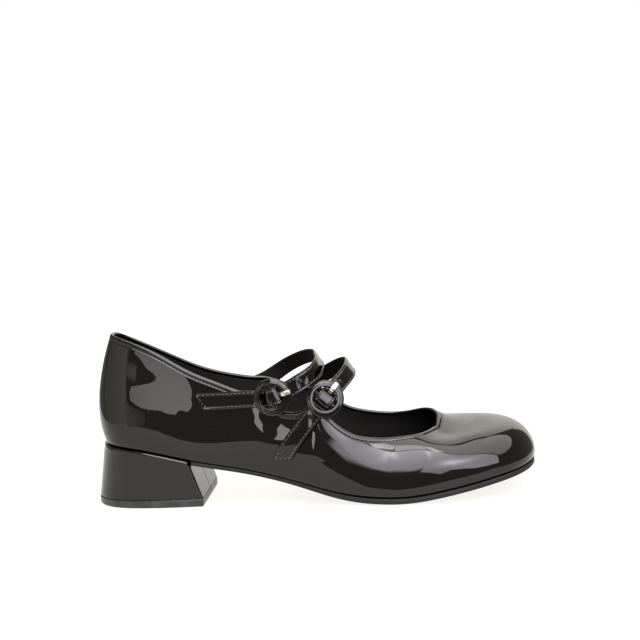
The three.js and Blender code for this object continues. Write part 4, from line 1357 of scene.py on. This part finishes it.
def studio_floor(name, colour):
    """Matt ground that is lit mostly by its own glow."""
    b = Bench(name, Emission_Strength=FLOOR_GLOW, Emission_Color=(1.0, 0.975, 0.93, 1.0))
    soft = b.noise(3, 2)
    b.set(Base_Color=b.mix(soft, tuple(colour), grey(colour[0] + 0.02)), Roughness=0.6 + soft * 0.1)
    return b.material


class SHOE_OT_stage(ShoeOperator):
    """Floor, light and camera"""
    bl_idname = "shoe.stage"
    bl_label = "Stage"

    def execute(self, context):
        half = context.scene.shoe_sizes.floor_size / 2
        square = ((-half, -half), (half, -half), (half, half), (-half, half))
        paint = studio_floor("studio_floor", context.scene.shoe_colours.floor)
        flat_shape("floor", [(x, y, 0.0) for x, y in NEAR_FLOOR], paint)
        around = flat_shape("floor_around", [(x, y, -FLOOR_STEP) for x, y in square], paint)
        around.visible_glossy = False
        for name, y, outline, *levels in CARDS:
            xs = [x for x, _ in outline]
            paint = card_paint("studio_" + name, levels, (min(xs), max(xs)))
            card = flat_shape(name, [(x, y, z) for x, z in outline], paint)
            card.visible_camera = card.visible_diffuse = card.visible_shadow = False
        context.scene.world = studio_light("studio")
        context.scene.view_settings.view_transform = "Standard"
        add_camera()
        return {"FINISHED"}


OPERATORS = (SHOE_OT_upper, SHOE_OT_sole, SHOE_OT_heel, SHOE_OT_straps, SHOE_OT_buckles,
             SHOE_OT_topline_stitching, SHOE_OT_stage)


class SHOE_PT_panel(bpy.types.Panel):
    bl_label = "Mary jane shoe"
    bl_idname = "SHOE_PT_panel"
    bl_space_type = "VIEW_3D"
    bl_region_type = "UI"
    bl_category = "Shoe"

    def draw(self, context):
        for group in (context.scene.shoe_sizes, context.scene.shoe_colours):
            for key in group.__annotations__:
                self.layout.prop(group, key)
        for operator in OPERATORS:
            self.layout.operator(operator.bl_idname)


CLASSES = (ShoeSizes, ShoeColours) + OPERATORS + (SHOE_PT_panel,)


def register():
    for cls in CLASSES:
        bpy.utils.register_class(cls)
    bpy.types.Scene.shoe_sizes = bpy.props.PointerProperty(type=ShoeSizes)
    bpy.types.Scene.shoe_colours = bpy.props.PointerProperty(type=ShoeColours)


def unregister():
    del bpy.types.Scene.shoe_colours
    del bpy.types.Scene.shoe_sizes
    for cls in reversed(CLASSES):
        bpy.utils.unregister_class(cls)


def main():
    register()
    for operator in OPERATORS:
        group, name = operator.bl_idname.split(".")
        getattr(getattr(bpy.ops, group), name)()


if __name__ == "__main__":
    main()
